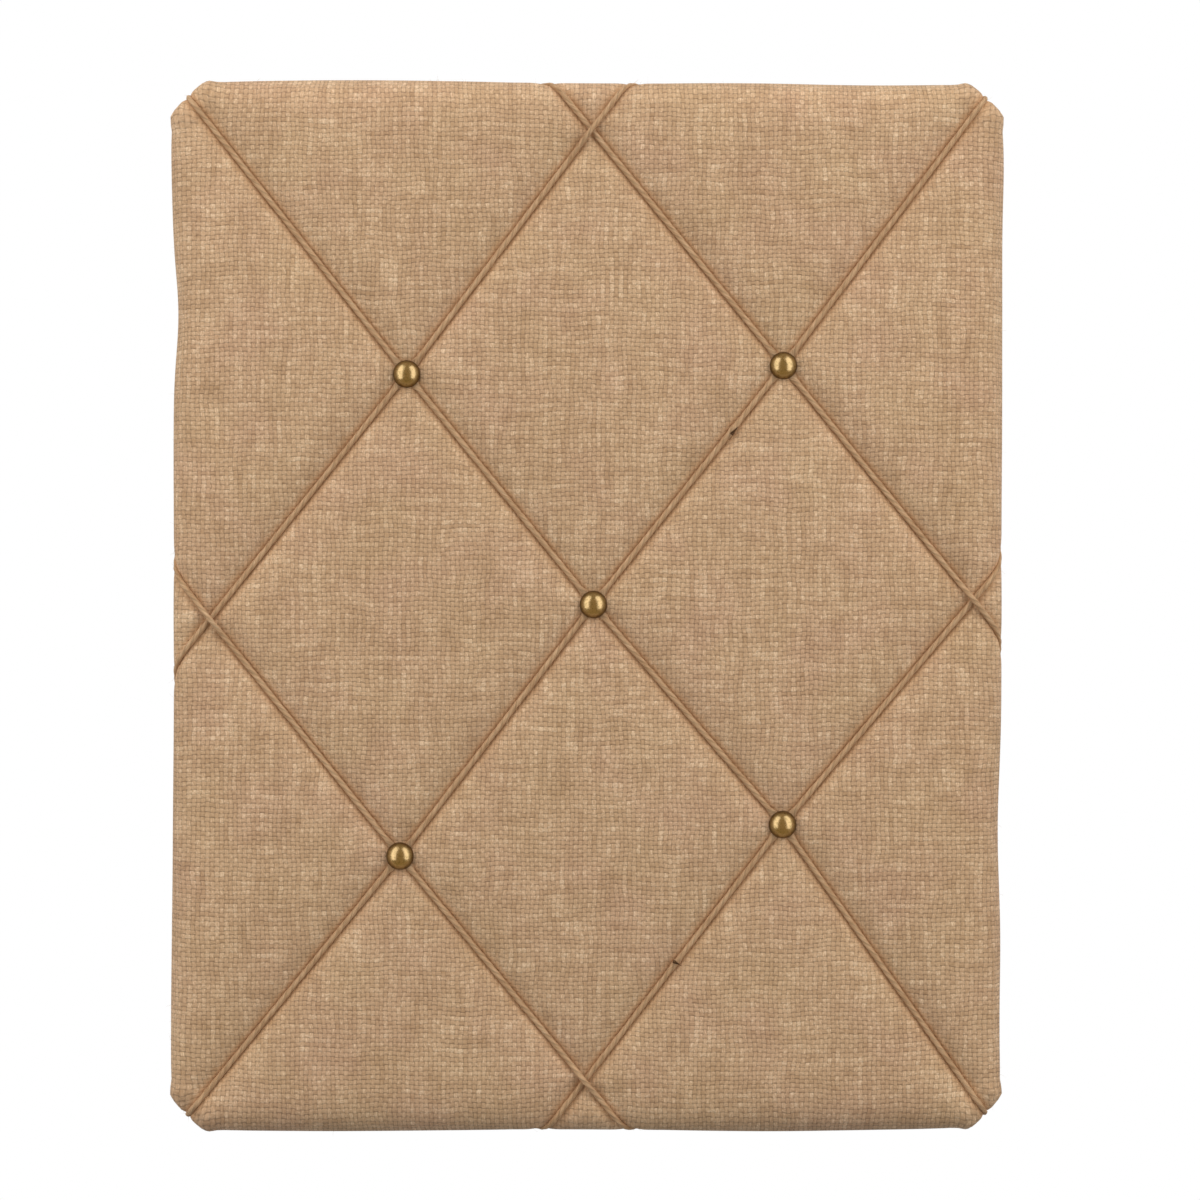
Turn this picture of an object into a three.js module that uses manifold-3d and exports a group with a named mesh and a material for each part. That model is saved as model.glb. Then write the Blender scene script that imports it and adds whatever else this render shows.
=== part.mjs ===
// French memo board: a padded board under jute cloth, with a lattice of cord held down by domed nails.
// Millimetres. X runs to the viewer's right, Z runs up, and the padded face looks along -Y.
// The origin is the middle of the backing sheet's outer face, the side that lies against a wall.
import * as THREE from 'three';
import { mergeVertices } from 'three/addons/utils/BufferGeometryUtils.js';
import Module from 'manifold-3d';

const wasm = await Module();
wasm.setup();

// Overall size, over the cords where they pass round the edges, and the cut across each corner
const overallWidth = 400;
const overallHeight = 505;
const cornerCut = 17;

// Thickness of the layers, from the face to the back
const clothThickness = 1;
const waddingThickness = 8;
const boardThickness = 9;
const backingThickness = 0.8;

// Edges: the padded face rolls over softly, and the cloth folds more sharply round the back
const paddedEdgeRadius = 7;
const foldRadius = 2;
const planCornerRadius = 9;

// How far in from the edge the cloth is turned at the back, and where the backing sheet begins
const turnInWidth = 45;
const turnInCornerCut = 12;
const backingInset = 34;
const backingCornerCut = 14;

// Cord
const cordDiameter = 3;
const pressedCordHeight = 1.5;
const pressedCordWidth = 5;
const cordTail = 24;

// Domed nail
const nailHeadDiameter = 13.5;
const nailHeadHeight = 5;
const nailHeadWall = 0.7;
const nailShankDiameter = 2;
const nailLength = 17;
const nailPointLength = 4;

// Staple over each cord end
const stapleCrown = 11;
const stapleLeg = 8;
const stapleWireHeight = 0.7;
const stapleWireWidth = 1.2;
const stapleSetback = 14;

// Strap hanger, its ring and its screws
const hangerHeight = 150;
const hangerEdgeDistance = 22;
const strapWidth = 12;
const strapLength = 37;
const strapSheet = 0.8;
const ringWire = 2.2;
const ringWidth = 16;
const ringLeg = 5;
const ringBendRadius = 2.6;
const screwHeadDiameter = 6;
const screwHeadHeight = 1.5;
const screwDiameter = 3;
const screwLength = 9;
const screwPointLength = 3;
const screwDriveDepth = 1;
const screwDriveWidth = 0.8;
const firstScrewDistance = 20;
const screwSpacing = 11;

// Clearances: pieces that rest on each other, a ring's bar in its eye, and the overrun of every cut
const seatGap = 0.3;
const eyeClearance = 0.35;
const overrun = 1;

// Where the nails stand, as shares of the overall width and height, counted from the middle
const nailPlaceShares = {
  upper_left: [-0.218, 0.221],
  upper_right: [0.236, 0.229],
  centre: [0.007, 0.001],
  lower_left: [-0.226, -0.239],
  lower_right: [0.235, -0.209],
};

// Where a cord crosses an edge that has no corner, as a share of that edge's length from its middle
const edgePlaceShares = {
  top_right_hand: 0.049,
  top_left_hand: -0.042,
  left_lower: -0.057,
  left_upper: 0.032,
  right_lower: -0.029,
  right_upper: 0.038,
  bottom_right_hand: 0.045,
  bottom_left_hand: -0.049,
};

// How the facets are spent
const cordSides = 8;
const edgeSegments = 5;
const foldSegments = 3;
const planCurveSegments = 3;
const nailSegments = 18;
const domeSegments = 5;
const wireSides = 8;
const bendSegments = 4;
const holeSides = 10;
const screwSides = 12;

// Angles
const quarterTurn = Math.PI / 2;
const ringLean = THREE.MathUtils.degToRad(6);
const eyeMouthAngle = THREE.MathUtils.degToRad(-40);

// Levels along Y, from the wall to the face
const backingFace = 0;
const clothBack = backingFace - backingThickness - seatGap;
const boardBack = clothBack - clothThickness - seatGap;
const boardFront = boardBack - boardThickness;
const waddingBack = boardFront - seatGap;
const waddingFront = waddingBack - waddingThickness;
const clothFront = waddingFront - seatGap - clothThickness;

// The covered board lies inside the cords that pass round it
const cordStand = seatGap + cordDiameter / 2;
const coverInset = seatGap + cordDiameter;
const liningInset = coverInset + clothThickness;
const coreInset = liningInset + seatGap;

// The cut across a corner gets shorter as its outline moves inwards
const cutShrink = 2 - Math.SQRT2;

const materials = {
  jute: new THREE.MeshStandardMaterial({ color: 0xb99268, roughness: 0.95, metalness: 0 }),
  cord: new THREE.MeshStandardMaterial({ color: 0xb38a5c, roughness: 0.9, metalness: 0 }),
  wadding: new THREE.MeshStandardMaterial({ color: 0xf0eee8, roughness: 1, metalness: 0 }),
  board: new THREE.MeshStandardMaterial({ color: 0xa98a63, roughness: 0.8, metalness: 0 }),
  backing: new THREE.MeshStandardMaterial({ color: 0x9c7b57, roughness: 0.9, metalness: 0 }),
  antiqueBrass: new THREE.MeshStandardMaterial({ color: 0x8f7440, roughness: 0.3, metalness: 1 }),
  nickel: new THREE.MeshStandardMaterial({ color: 0xb9b7b0, roughness: 0.3, metalness: 1 }),
  staple: new THREE.MeshStandardMaterial({ color: 0xc4c4c2, roughness: 0.35, metalness: 1 }),
};

// Turns a closed three.js geometry into a solid that can be joined and cut
function solidOf(geometry) {
  const bare = geometry.clone();
  bare.deleteAttribute('normal');
  bare.deleteAttribute('uv');
  const merged = mergeVertices(bare);
  const vertProperties = new Float32Array(merged.attributes.position.array);
  const triVerts = new Uint32Array(merged.index.array);
  return new wasm.Manifold(new wasm.Mesh({ numProp: 3, vertProperties, triVerts }));
}

function geometryOf(solid) {
  const mesh = solid.getMesh();
  const geometry = new THREE.BufferGeometry();
  geometry.setAttribute('position', new THREE.BufferAttribute(mesh.vertProperties, 3));
  geometry.setIndex(new THREE.BufferAttribute(mesh.triVerts, 1));
  return geometry;
}

function namedMesh(name, geometry, material) {
  const mesh = new THREE.Mesh(geometry, material);
  mesh.name = name;
  return mesh;
}

// The board's outline as seen from the front, moved inwards: a rectangle with its corners cut and eased
function boardOutline(inset, cut = cornerCut - inset * cutShrink) {
  const halfWidth = overallWidth / 2 - inset;
  const halfHeight = overallHeight / 2 - inset;
  const ease = Math.max(planCornerRadius + coverInset - inset, seatGap) * Math.tan(quarterTurn / 4);
  const corners = [
    [halfWidth, halfHeight - cut],
    [halfWidth - cut, halfHeight],
    [cut - halfWidth, halfHeight],
    [-halfWidth, halfHeight - cut],
    [-halfWidth, cut - halfHeight],
    [cut - halfWidth, -halfHeight],
    [halfWidth - cut, -halfHeight],
    [halfWidth, cut - halfHeight],
  ].map(([x, z]) => new THREE.Vector2(x, z));
  const outline = new THREE.Shape();
  corners.forEach((corner, index) => {
    const before = corners[(index + corners.length - 1) % corners.length];
    const after = corners[(index + 1) % corners.length];
    const arrive = corner.clone().add(before.clone().sub(corner).setLength(ease));
    const leave = corner.clone().add(after.clone().sub(corner).setLength(ease));
    if (index === 0) {
      outline.moveTo(arrive.x, arrive.y);
    } else {
      outline.lineTo(arrive.x, arrive.y);
    }
    outline.quadraticCurveTo(corner.x, corner.y, leave.x, leave.y);
  });
  outline.closePath();
  return outline;
}

// A flat layer between two levels along Y, with both its rims rolled over by the radius
function layer(outline, back, front, radius, segments) {
  const rolled = radius > 0;
  const geometry = new THREE.ExtrudeGeometry(outline, {
    depth: back - front - 2 * radius,
    curveSegments: planCurveSegments,
    bevelEnabled: rolled,
    bevelThickness: radius,
    bevelSize: radius,
    bevelOffset: -radius,
    bevelSegments: segments,
  });
  geometry.rotateX(quarterTurn);
  geometry.translate(0, back - radius, 0);
  return geometry;
}

// The stretched cloth's shape at some depth below its surface: soft in front, folded sharply behind
function wrappedForm(below) {
  const outline = boardOutline(coverInset + below);
  const back = clothBack - below;
  const front = clothFront + below;
  const soft = layer(outline, back, front, paddedEdgeRadius - below, edgeSegments);
  const folded = layer(outline, back, clothFront + paddedEdgeRadius, foldRadius - below, foldSegments);
  return solidOf(soft).add(solidOf(folded));
}

// A round hole along Y from one level to another
function drill(x, z, back, front, radius) {
  const geometry = new THREE.CylinderGeometry(radius, radius, back - front, holeSides);
  geometry.translate(x, (back + front) / 2, z);
  return solidOf(geometry);
}

// A curve that is swept exactly through its stations, however far apart they are
class StationCurve extends THREE.Curve {
  constructor(stations) {
    super();
    this.stations = stations;
  }

  getPoint(share, target = new THREE.Vector3()) {
    const place = share * (this.stations.length - 1);
    const index = Math.min(Math.floor(place), this.stations.length - 2);
    return target.lerpVectors(this.stations[index], this.stations[index + 1], place - index);
  }

  getPointAt(share, target) {
    return this.getPoint(share, target);
  }

  getTangentAt(share, target = new THREE.Vector3()) {
    const index = Math.round(share * (this.stations.length - 1));
    const before = this.stations[Math.max(index - 1, 0)];
    const here = this.stations[index];
    const after = this.stations[Math.min(index + 1, this.stations.length - 1)];
    const arriving = here.clone().sub(before).normalize();
    const leaving = after.clone().sub(here).normalize();
    return target.addVectors(arriving, leaving).normalize();
  }
}

// A round wire or cord through the stations
function sweep(stations, radius, sides) {
  const section = new THREE.Shape();
  for (let side = 0; side < sides; side += 1) {
    const angle = (side / sides) * 4 * quarterTurn;
    const x = radius * Math.cos(angle);
    const y = radius * Math.sin(angle);
    if (side === 0) {
      section.moveTo(x, y);
    } else {
      section.lineTo(x, y);
    }
  }
  return new THREE.ExtrudeGeometry(section, {
    steps: stations.length - 1,
    bevelEnabled: false,
    extrudePath: new StationCurve(stations),
  });
}

// Edges that a cord can pass round, each with its outward direction and the cloth's distance along it
function edgeOf(x, z, reach) {
  const normal = new THREE.Vector2(x, z).normalize();
  const tangent = new THREE.Vector2(-normal.y, normal.x);
  return { normal, tangent, reach };
}

const coverHalfWidth = overallWidth / 2 - coverInset;
const coverHalfHeight = overallHeight / 2 - coverInset;
const coverCut = cornerCut - coverInset * cutShrink;
const cornerReach = (coverHalfWidth + coverHalfHeight - coverCut) / Math.SQRT2;
const edges = {
  top: edgeOf(0, 1, coverHalfHeight),
  bottom: edgeOf(0, -1, coverHalfHeight),
  left: edgeOf(-1, 0, coverHalfWidth),
  right: edgeOf(1, 0, coverHalfWidth),
  topLeft: edgeOf(-1, 1, cornerReach),
  topRight: edgeOf(1, 1, cornerReach),
  bottomLeft: edgeOf(-1, -1, cornerReach),
  bottomRight: edgeOf(1, -1, cornerReach),
};

// Where a cord meets the silhouette: a place along a straight edge, or the middle of a cut corner
function alongTop(share, side) {
  return new THREE.Vector2(share * overallWidth, (side * overallHeight) / 2);
}

function alongSide(side, share) {
  return new THREE.Vector2((side * overallWidth) / 2, share * overallHeight);
}

function cornerMiddle(sideX, sideZ) {
  const x = sideX * (overallWidth - cornerCut);
  const z = sideZ * (overallHeight - cornerCut);
  return new THREE.Vector2(x / 2, z / 2);
}

function nailPoint(place) {
  const [x, z] = nailPlaceShares[place];
  return new THREE.Vector2(x * overallWidth, z * overallHeight);
}

// The lattice. Each cord runs from one end to the other under its nails. over lists what it lies on.
const cords = [
  {
    name: 'cord_long_falling',
    ends: [
      { edge: edges.topLeft, aim: cornerMiddle(-1, 1) },
      { edge: edges.bottomRight, aim: cornerMiddle(1, -1) },
    ],
    nails: ['upper_left', 'centre', 'lower_right'],
    over: [],
  },
  {
    name: 'cord_long_rising',
    ends: [
      { edge: edges.topRight, aim: cornerMiddle(1, 1) },
      { edge: edges.bottomLeft, aim: cornerMiddle(-1, -1) },
    ],
    nails: ['upper_right', 'centre', 'lower_left'],
    over: ['cord_long_falling'],
  },
  {
    name: 'cord_top_to_left',
    ends: [
      { edge: edges.top, aim: alongTop(edgePlaceShares.top_right_hand, 1) },
      { edge: edges.left, aim: alongSide(-1, edgePlaceShares.left_lower) },
    ],
    nails: ['upper_left'],
    over: ['cord_long_falling', 'cord_top_to_right'],
  },
  {
    name: 'cord_top_to_right',
    ends: [
      { edge: edges.top, aim: alongTop(edgePlaceShares.top_left_hand, 1) },
      { edge: edges.right, aim: alongSide(1, edgePlaceShares.right_lower) },
    ],
    nails: ['upper_right'],
    over: ['cord_long_rising', 'cord_bottom_to_right'],
  },
  {
    name: 'cord_bottom_to_left',
    ends: [
      { edge: edges.left, aim: alongSide(-1, edgePlaceShares.left_upper) },
      { edge: edges.bottom, aim: alongTop(edgePlaceShares.bottom_right_hand, -1) },
    ],
    nails: ['lower_left'],
    over: ['cord_long_rising', 'cord_top_to_left', 'cord_bottom_to_right'],
  },
  {
    name: 'cord_bottom_to_right',
    ends: [
      { edge: edges.right, aim: alongSide(1, edgePlaceShares.right_upper) },
      { edge: edges.bottom, aim: alongTop(edgePlaceShares.bottom_left_hand, -1) },
    ],
    nails: ['lower_right'],
    over: ['cord_long_falling'],
  },
];

// Where the cord leaves the flat of the face: its straight line from the last nail meets the edge's roll
function leavingPoint(nail, end) {
  const direction = end.aim.clone().sub(nail).normalize();
  const toRoll = end.edge.reach - paddedEdgeRadius - nail.dot(end.edge.normal);
  return nail.clone().addScaledVector(direction, toRoll / direction.dot(end.edge.normal));
}

for (const cord of cords) {
  const nailPoints = cord.nails.map(nailPoint);
  const first = leavingPoint(nailPoints[0], cord.ends[0]);
  const last = leavingPoint(nailPoints[nailPoints.length - 1], cord.ends[1]);
  cord.line = [first, ...nailPoints, last];
}

// Where two straight stretches cross between their ends, or null
function crossingOf(a, b, c, d) {
  const ab = b.clone().sub(a);
  const cd = d.clone().sub(c);
  const ac = c.clone().sub(a);
  const turn = ab.cross(cd);
  const shareAb = ac.cross(cd) / turn;
  const shareCd = ac.cross(ab) / turn;
  const inside = shareAb > 0 && shareAb < 1 && shareCd > 0 && shareCd < 1;
  return inside ? a.clone().addScaledVector(ab, shareAb) : null;
}

function stretches(line) {
  return line.slice(1).map((point, index) => [line[index], point]);
}

// How high a crossing lifts a cord, from its middle outwards: shares of the reach and of the full lift.
// Under a nail the cord is pressed flat up to the first of the last two shares, and round from the second.
const pressedShare = 1.1;
const roundShare = 1.6;
const liftShares = [
  [0, 1],
  [0.44, 1],
  [0.62, 0.5],
  [0.8, 0],
  [pressedShare, 0],
  [roundShare, 0],
];

function liftAt(distance, reach) {
  const share = distance / reach;
  for (let index = 1; index < liftShares.length; index += 1) {
    const [nearShare, nearLift] = liftShares[index - 1];
    const [farShare, farLift] = liftShares[index];
    if (share <= farShare) {
      const way = (share - nearShare) / (farShare - nearShare);
      return nearLift + way * (farLift - nearLift);
    }
  }
  return 0;
}

// How far along a cord a crossing lifts it, in cord diameters
const crossingReachRatio = 3;

const nailReach = nailHeadDiameter / 2;
const crossingReach = crossingReachRatio * cordDiameter;
const nailLift = pressedCordHeight + seatGap;
const crossingLift = cordDiameter + seatGap;

// Every place where the cord is pressed, or climbs over another, on the flat of the face
function eventsOf(cord) {
  const heldBy = cord.nails.map(nailPoint);
  const awayFromNails = (point) => heldBy.every((nail) => nail.distanceTo(point) > nailReach);
  const climbsAt = (place) =>
    cords.some((other) => other.nails.includes(place) && cord.over.includes(other.name));
  const events = cord.nails.map((place) => ({
    point: nailPoint(place),
    reach: nailReach,
    lift: climbsAt(place) ? nailLift : 0,
    nail: true,
  }));
  for (const other of cords) {
    const above = cord.over.includes(other.name);
    if (other !== cord) {
      for (const [a, b] of stretches(cord.line)) {
        for (const [c, d] of stretches(other.line)) {
          const point = crossingOf(a, b, c, d);
          if (point && awayFromNails(point)) {
            events.push({ point, reach: crossingReach, lift: above ? crossingLift : 0, nail: false });
          }
        }
      }
    }
  }
  return events;
}

// The shares of an event's reach at which the cord bends: where it climbs, and where a nail presses it
function bendShares(event) {
  const climbing = liftShares.filter(([share]) => event.lift > 0 && share < pressedShare);
  const pressed = event.nail ? [0, pressedShare, roundShare] : [];
  return [...climbing.map(([share]) => share), ...pressed];
}

// The distances over the surface, from where the roll starts, at which the roll, the side and the fold end
const rollStop = (paddedEdgeRadius + cordStand) * quarterTurn;
const sideStop = rollStop + clothBack - foldRadius - (clothFront + paddedEdgeRadius);
const foldStop = sideStop + (foldRadius + cordStand) * quarterTurn;

// A point of the cord's centreline past the roll of an edge, by how far it has gone over the surface
function wrapPoint(edge, along, gone, lift) {
  const stand = cordStand + lift;
  let out;
  let level;
  if (gone <= rollStop) {
    const angle = gone / (paddedEdgeRadius + cordStand);
    out = edge.reach - paddedEdgeRadius + (paddedEdgeRadius + stand) * Math.sin(angle);
    level = clothFront + paddedEdgeRadius - (paddedEdgeRadius + stand) * Math.cos(angle);
  } else if (gone <= sideStop) {
    out = edge.reach + stand;
    level = clothFront + paddedEdgeRadius + gone - rollStop;
  } else if (gone <= foldStop) {
    const angle = (gone - sideStop) / (foldRadius + cordStand);
    out = edge.reach - foldRadius + (foldRadius + stand) * Math.cos(angle);
    level = clothBack - foldRadius + (foldRadius + stand) * Math.sin(angle);
  } else {
    out = edge.reach - foldRadius - (gone - foldStop);
    level = clothBack + stand;
  }
  const plan = edge.normal.clone().multiplyScalar(out).addScaledVector(edge.tangent, along);
  return new THREE.Vector3(plan.x, level, plan.y);
}

// The distances over the surface at which a wrapped cord bends, and where its tail ends
function wrapStops(slant) {
  const stops = [];
  for (let step = 1; step <= edgeSegments; step += 1) {
    stops.push((rollStop * step) / edgeSegments);
  }
  stops.push(sideStop);
  for (let step = 1; step <= foldSegments + 1; step += 1) {
    stops.push(sideStop + ((foldStop - sideStop) * step) / (foldSegments + 1));
  }
  stops.push(foldStop + cordTail * slant);
  return stops;
}

// The wrapped part of one end, from the face to the tail, which goes on in the direction it came
function wrappedEnd(end, nail, events) {
  const start = leavingPoint(nail, end);
  const direction = end.aim.clone().sub(nail).normalize();
  const slant = direction.dot(end.edge.normal);
  const drift = direction.dot(end.edge.tangent) / slant;
  const liftPast = (gone) => {
    const lifts = events.map((event) => {
      const distance = event.point.distanceTo(start) + gone / slant;
      return event.lift * liftAt(distance, event.reach);
    });
    return Math.max(0, ...lifts);
  };
  const pointAt = (gone) => {
    const along = start.dot(end.edge.tangent) + gone * drift;
    return wrapPoint(end.edge, along, gone, liftPast(gone));
  };
  const tailDirection = pointAt(foldStop + cordTail * slant).sub(pointAt(foldStop)).normalize();
  return {
    stations: wrapStops(slant).map(pointAt),
    staple: pointAt(foldStop + stapleSetback * slant),
    tailDirection,
  };
}

// The flat part of a cord: stations only where it bends, climbs or is pressed
function flatStations(line, events) {
  const stations = [];
  for (const [a, b] of stretches(line)) {
    const length = a.distanceTo(b);
    const direction = b.clone().sub(a).normalize();
    const marks = [0, length];
    for (const event of events) {
      const middle = event.point.clone().sub(a).dot(direction);
      const off = event.point.distanceTo(a.clone().addScaledVector(direction, middle));
      if (off < cordDiameter) {
        for (const share of bendShares(event)) {
          marks.push(middle - share * event.reach, middle + share * event.reach);
        }
      }
    }
    const kept = marks.filter((mark) => mark >= 0 && mark <= length).sort((p, q) => p - q);
    kept.forEach((mark, index) => {
      const repeats = index > 0 && mark - kept[index - 1] < seatGap;
      const point = a.clone().addScaledVector(direction, mark);
      const joins = stations.length > 0 && point.distanceTo(stations[stations.length - 1].plan) < seatGap;
      if (!repeats && !joins) {
        const lifts = events.map((event) => event.lift * liftAt(event.point.distanceTo(point), event.reach));
        stations.push({ plan: point, lift: Math.max(0, ...lifts) });
      }
    });
  }
  return stations.map(({ plan, lift }) => new THREE.Vector3(plan.x, clothFront - cordStand - lift, plan.y));
}

// A nail presses the cord flat and wide beneath its head, and the shank parts the strands
function pressUnderNails(geometry, cord, events) {
  const position = geometry.attributes.position;
  const vertex = new THREE.Vector3();
  const low = pressedShare * nailReach;
  const high = roundShare * nailReach;
  for (const event of events.filter((one) => one.nail)) {
    const index = cord.line.findIndex((point) => point.distanceTo(event.point) < seatGap);
    const direction = cord.line[index + 1].clone().sub(cord.line[index - 1]).normalize();
    const across = new THREE.Vector2(-direction.y, direction.x);
    for (let item = 0; item < position.count; item += 1) {
      vertex.fromBufferAttribute(position, item);
      const plan = new THREE.Vector2(vertex.x, vertex.z).sub(event.point);
      const share = 1 - THREE.MathUtils.smoothstep(Math.abs(plan.dot(direction)), low, high);
      const near = plan.length() < high + cordDiameter;
      if (near && share > 0) {
        const widen = 1 + (pressedCordWidth / cordDiameter - 1) * share;
        const flatten = 1 + (pressedCordHeight / cordDiameter - 1) * share;
        const rest = clothFront - seatGap - event.lift * liftAt(plan.length(), event.reach);
        const sideways = plan.dot(across) * (widen - 1);
        vertex.x += across.x * sideways;
        vertex.z += across.y * sideways;
        vertex.y = rest + (vertex.y - rest) * flatten;
        position.setXYZ(item, vertex.x, vertex.y, vertex.z);
      }
    }
  }
}

// Nails stand on the pressed cords, with the rim of the hollow head just clear of them
const nailSeat = clothFront - seatGap - pressedCordHeight - seatGap;
const nailTip = nailSeat + nailLength;

function nailHole(place, radius) {
  const { x, y: z } = nailPoint(place);
  return drill(x, z, nailTip + overrun, nailSeat - nailHeadHeight, radius);
}

function buildCord(cord) {
  const events = eventsOf(cord);
  const nailPoints = cord.nails.map(nailPoint);
  const head = wrappedEnd(cord.ends[0], nailPoints[0], events);
  const tail = wrappedEnd(cord.ends[1], nailPoints[nailPoints.length - 1], events);
  const face = flatStations(cord.line, events);
  const stations = [...head.stations.reverse(), ...face, ...tail.stations];
  const geometry = sweep(stations, cordDiameter / 2, cordSides);
  pressUnderNails(geometry, cord, events);
  let solid = solidOf(geometry);
  for (const place of cord.nails) {
    solid = solid.subtract(nailHole(place, nailShankDiameter / 2 + seatGap));
  }
  cord.staples = [head, tail];
  return namedMesh(cord.name, geometryOf(solid), materials.cord);
}

// Domed nail, drawn about its own axis with the head upwards and the rim at zero
function nailGeometry() {
  const outer = nailHeadDiameter / 2;
  const sphere = (outer * outer + nailHeadHeight * nailHeadHeight) / (2 * nailHeadHeight);
  const middle = nailHeadHeight - sphere;
  const inner = sphere - nailHeadWall;
  const shank = nailShankDiameter / 2;
  const rimAngle = Math.asin(outer / sphere);
  const innerRim = Math.acos(Math.min(1, -middle / inner));
  const shankAngle = Math.asin(shank / inner);
  const profile = [];
  for (let step = 0; step <= domeSegments; step += 1) {
    const angle = (rimAngle * step) / domeSegments;
    profile.push(new THREE.Vector2(sphere * Math.sin(angle), middle + sphere * Math.cos(angle)));
  }
  for (let step = 0; step <= domeSegments; step += 1) {
    const angle = innerRim + ((shankAngle - innerRim) * step) / domeSegments;
    profile.push(new THREE.Vector2(inner * Math.sin(angle), middle + inner * Math.cos(angle)));
  }
  profile.push(new THREE.Vector2(shank, nailPointLength - nailLength));
  profile.push(new THREE.Vector2(0, -nailLength));
  profile[0].x = 0;
  return new THREE.LatheGeometry(profile.reverse(), nailSegments);
}

function buildNail(place) {
  const mesh = namedMesh(`nail_${place}`, nailGeometry(), materials.antiqueBrass);
  const { x, y: z } = nailPoint(place);
  mesh.position.set(x, nailSeat, z);
  mesh.rotation.x = 2 * quarterTurn;
  return mesh;
}

// Staple, drawn with its crown across X, its legs down -Y, and the cloth's back at zero
const crownUnderside = seatGap + cordDiameter + seatGap;

function stapleGeometry(grow) {
  const half = stapleCrown / 2 + grow;
  const inner = stapleCrown / 2 - stapleWireHeight - grow;
  const top = crownUnderside + stapleWireHeight + grow;
  const foot = crownUnderside + stapleWireHeight - stapleLeg - grow;
  const outline = new THREE.Shape();
  outline.moveTo(-half, top);
  outline.lineTo(-half, foot + stapleWireHeight);
  outline.lineTo(-inner, foot);
  outline.lineTo(-inner, crownUnderside - grow);
  outline.lineTo(inner, crownUnderside - grow);
  outline.lineTo(inner, foot);
  outline.lineTo(half, foot + stapleWireHeight);
  outline.lineTo(half, top);
  outline.closePath();
  const width = stapleWireWidth + 2 * grow;
  const geometry = new THREE.ExtrudeGeometry(outline, { depth: width, bevelEnabled: false });
  geometry.translate(0, 0, -width / 2);
  return geometry;
}

function stapleTurn({ tailDirection }) {
  return Math.atan2(tailDirection.x, tailDirection.z);
}

function buildStaple(name, end) {
  const mesh = namedMesh(name, stapleGeometry(0), materials.staple);
  mesh.position.set(end.staple.x, clothBack, end.staple.z);
  mesh.rotation.y = stapleTurn(end);
  return mesh;
}

function stapleHoles(end) {
  const geometry = stapleGeometry(seatGap);
  geometry.rotateY(stapleTurn(end));
  geometry.translate(end.staple.x, clothBack, end.staple.z);
  return solidOf(geometry);
}

// Hanger: its group's origin is the middle of the rolled eye, Y points away from the wall side
const barRadius = ringWire / 2;
// How far below the eye's middle the strip's two halves meet, in outer radii of the eye
const neckRatio = 2;
const eyeInner = barRadius + eyeClearance;
const eyeOuter = eyeInner + strapSheet;
const strapFoot = clothBack + seatGap;
const eyeLevel = strapFoot + eyeOuter;
const strapTop = 2 * strapSheet + seatGap - eyeOuter;
const hangerX = overallWidth / 2 - hangerEdgeDistance;
const screwDistances = [firstScrewDistance, firstScrewDistance + screwSpacing];

// One strip folded back on itself round the ring's bar, seen from its edge: Y across and Z up
function strapProfile() {
  const neck = neckRatio * eyeOuter;
  const frontInner = strapSheet + seatGap - eyeOuter;
  const outline = new THREE.Shape();
  outline.moveTo(-eyeOuter, -strapLength);
  outline.lineTo(-eyeOuter, 0);
  outline.absarc(0, 0, eyeOuter, 2 * quarterTurn, eyeMouthAngle, true);
  outline.lineTo(strapTop, -neck);
  outline.lineTo(strapTop, -strapLength);
  outline.lineTo(frontInner, -strapLength);
  outline.lineTo(frontInner, -neck);
  outline.absarc(0, 0, eyeInner, eyeMouthAngle, 2 * quarterTurn, false);
  outline.lineTo(-eyeInner, -strapLength);
  outline.closePath();
  return outline;
}

// The strip's outline from behind, with its lower end rounded
function strapPlan() {
  const half = strapWidth / 2;
  const outline = new THREE.Shape();
  outline.moveTo(half, eyeOuter + overrun);
  outline.lineTo(-half, eyeOuter + overrun);
  outline.lineTo(-half, half - strapLength);
  outline.absarc(0, half - strapLength, half, -2 * quarterTurn, 0, false);
  outline.closePath();
  return outline;
}

// Countersunk screw, drawn about its own axis with the flat of the head at zero
function screwProfile(grow, length) {
  const head = screwHeadDiameter / 2 + grow;
  const shank = screwDiameter / 2 + grow;
  const profile = [
    new THREE.Vector2(0, -length - grow),
    new THREE.Vector2(shank, screwPointLength - length - grow),
    new THREE.Vector2(shank, -screwHeadHeight),
    new THREE.Vector2(head, 0),
  ];
  if (grow > 0) {
    profile.push(new THREE.Vector2(head, overrun));
  }
  profile.push(new THREE.Vector2(0, grow > 0 ? overrun : 0));
  return profile;
}

function screwGeometry() {
  let solid = solidOf(new THREE.LatheGeometry(screwProfile(0, screwLength), screwSides));
  const slotLength = screwHeadDiameter - 2 * screwDriveWidth;
  for (const [x, z] of [[slotLength, screwDriveWidth], [screwDriveWidth, slotLength]]) {
    solid = solid.subtract(solidOf(new THREE.BoxGeometry(x, 2 * screwDriveDepth, z)));
  }
  return geometryOf(solid);
}

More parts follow.
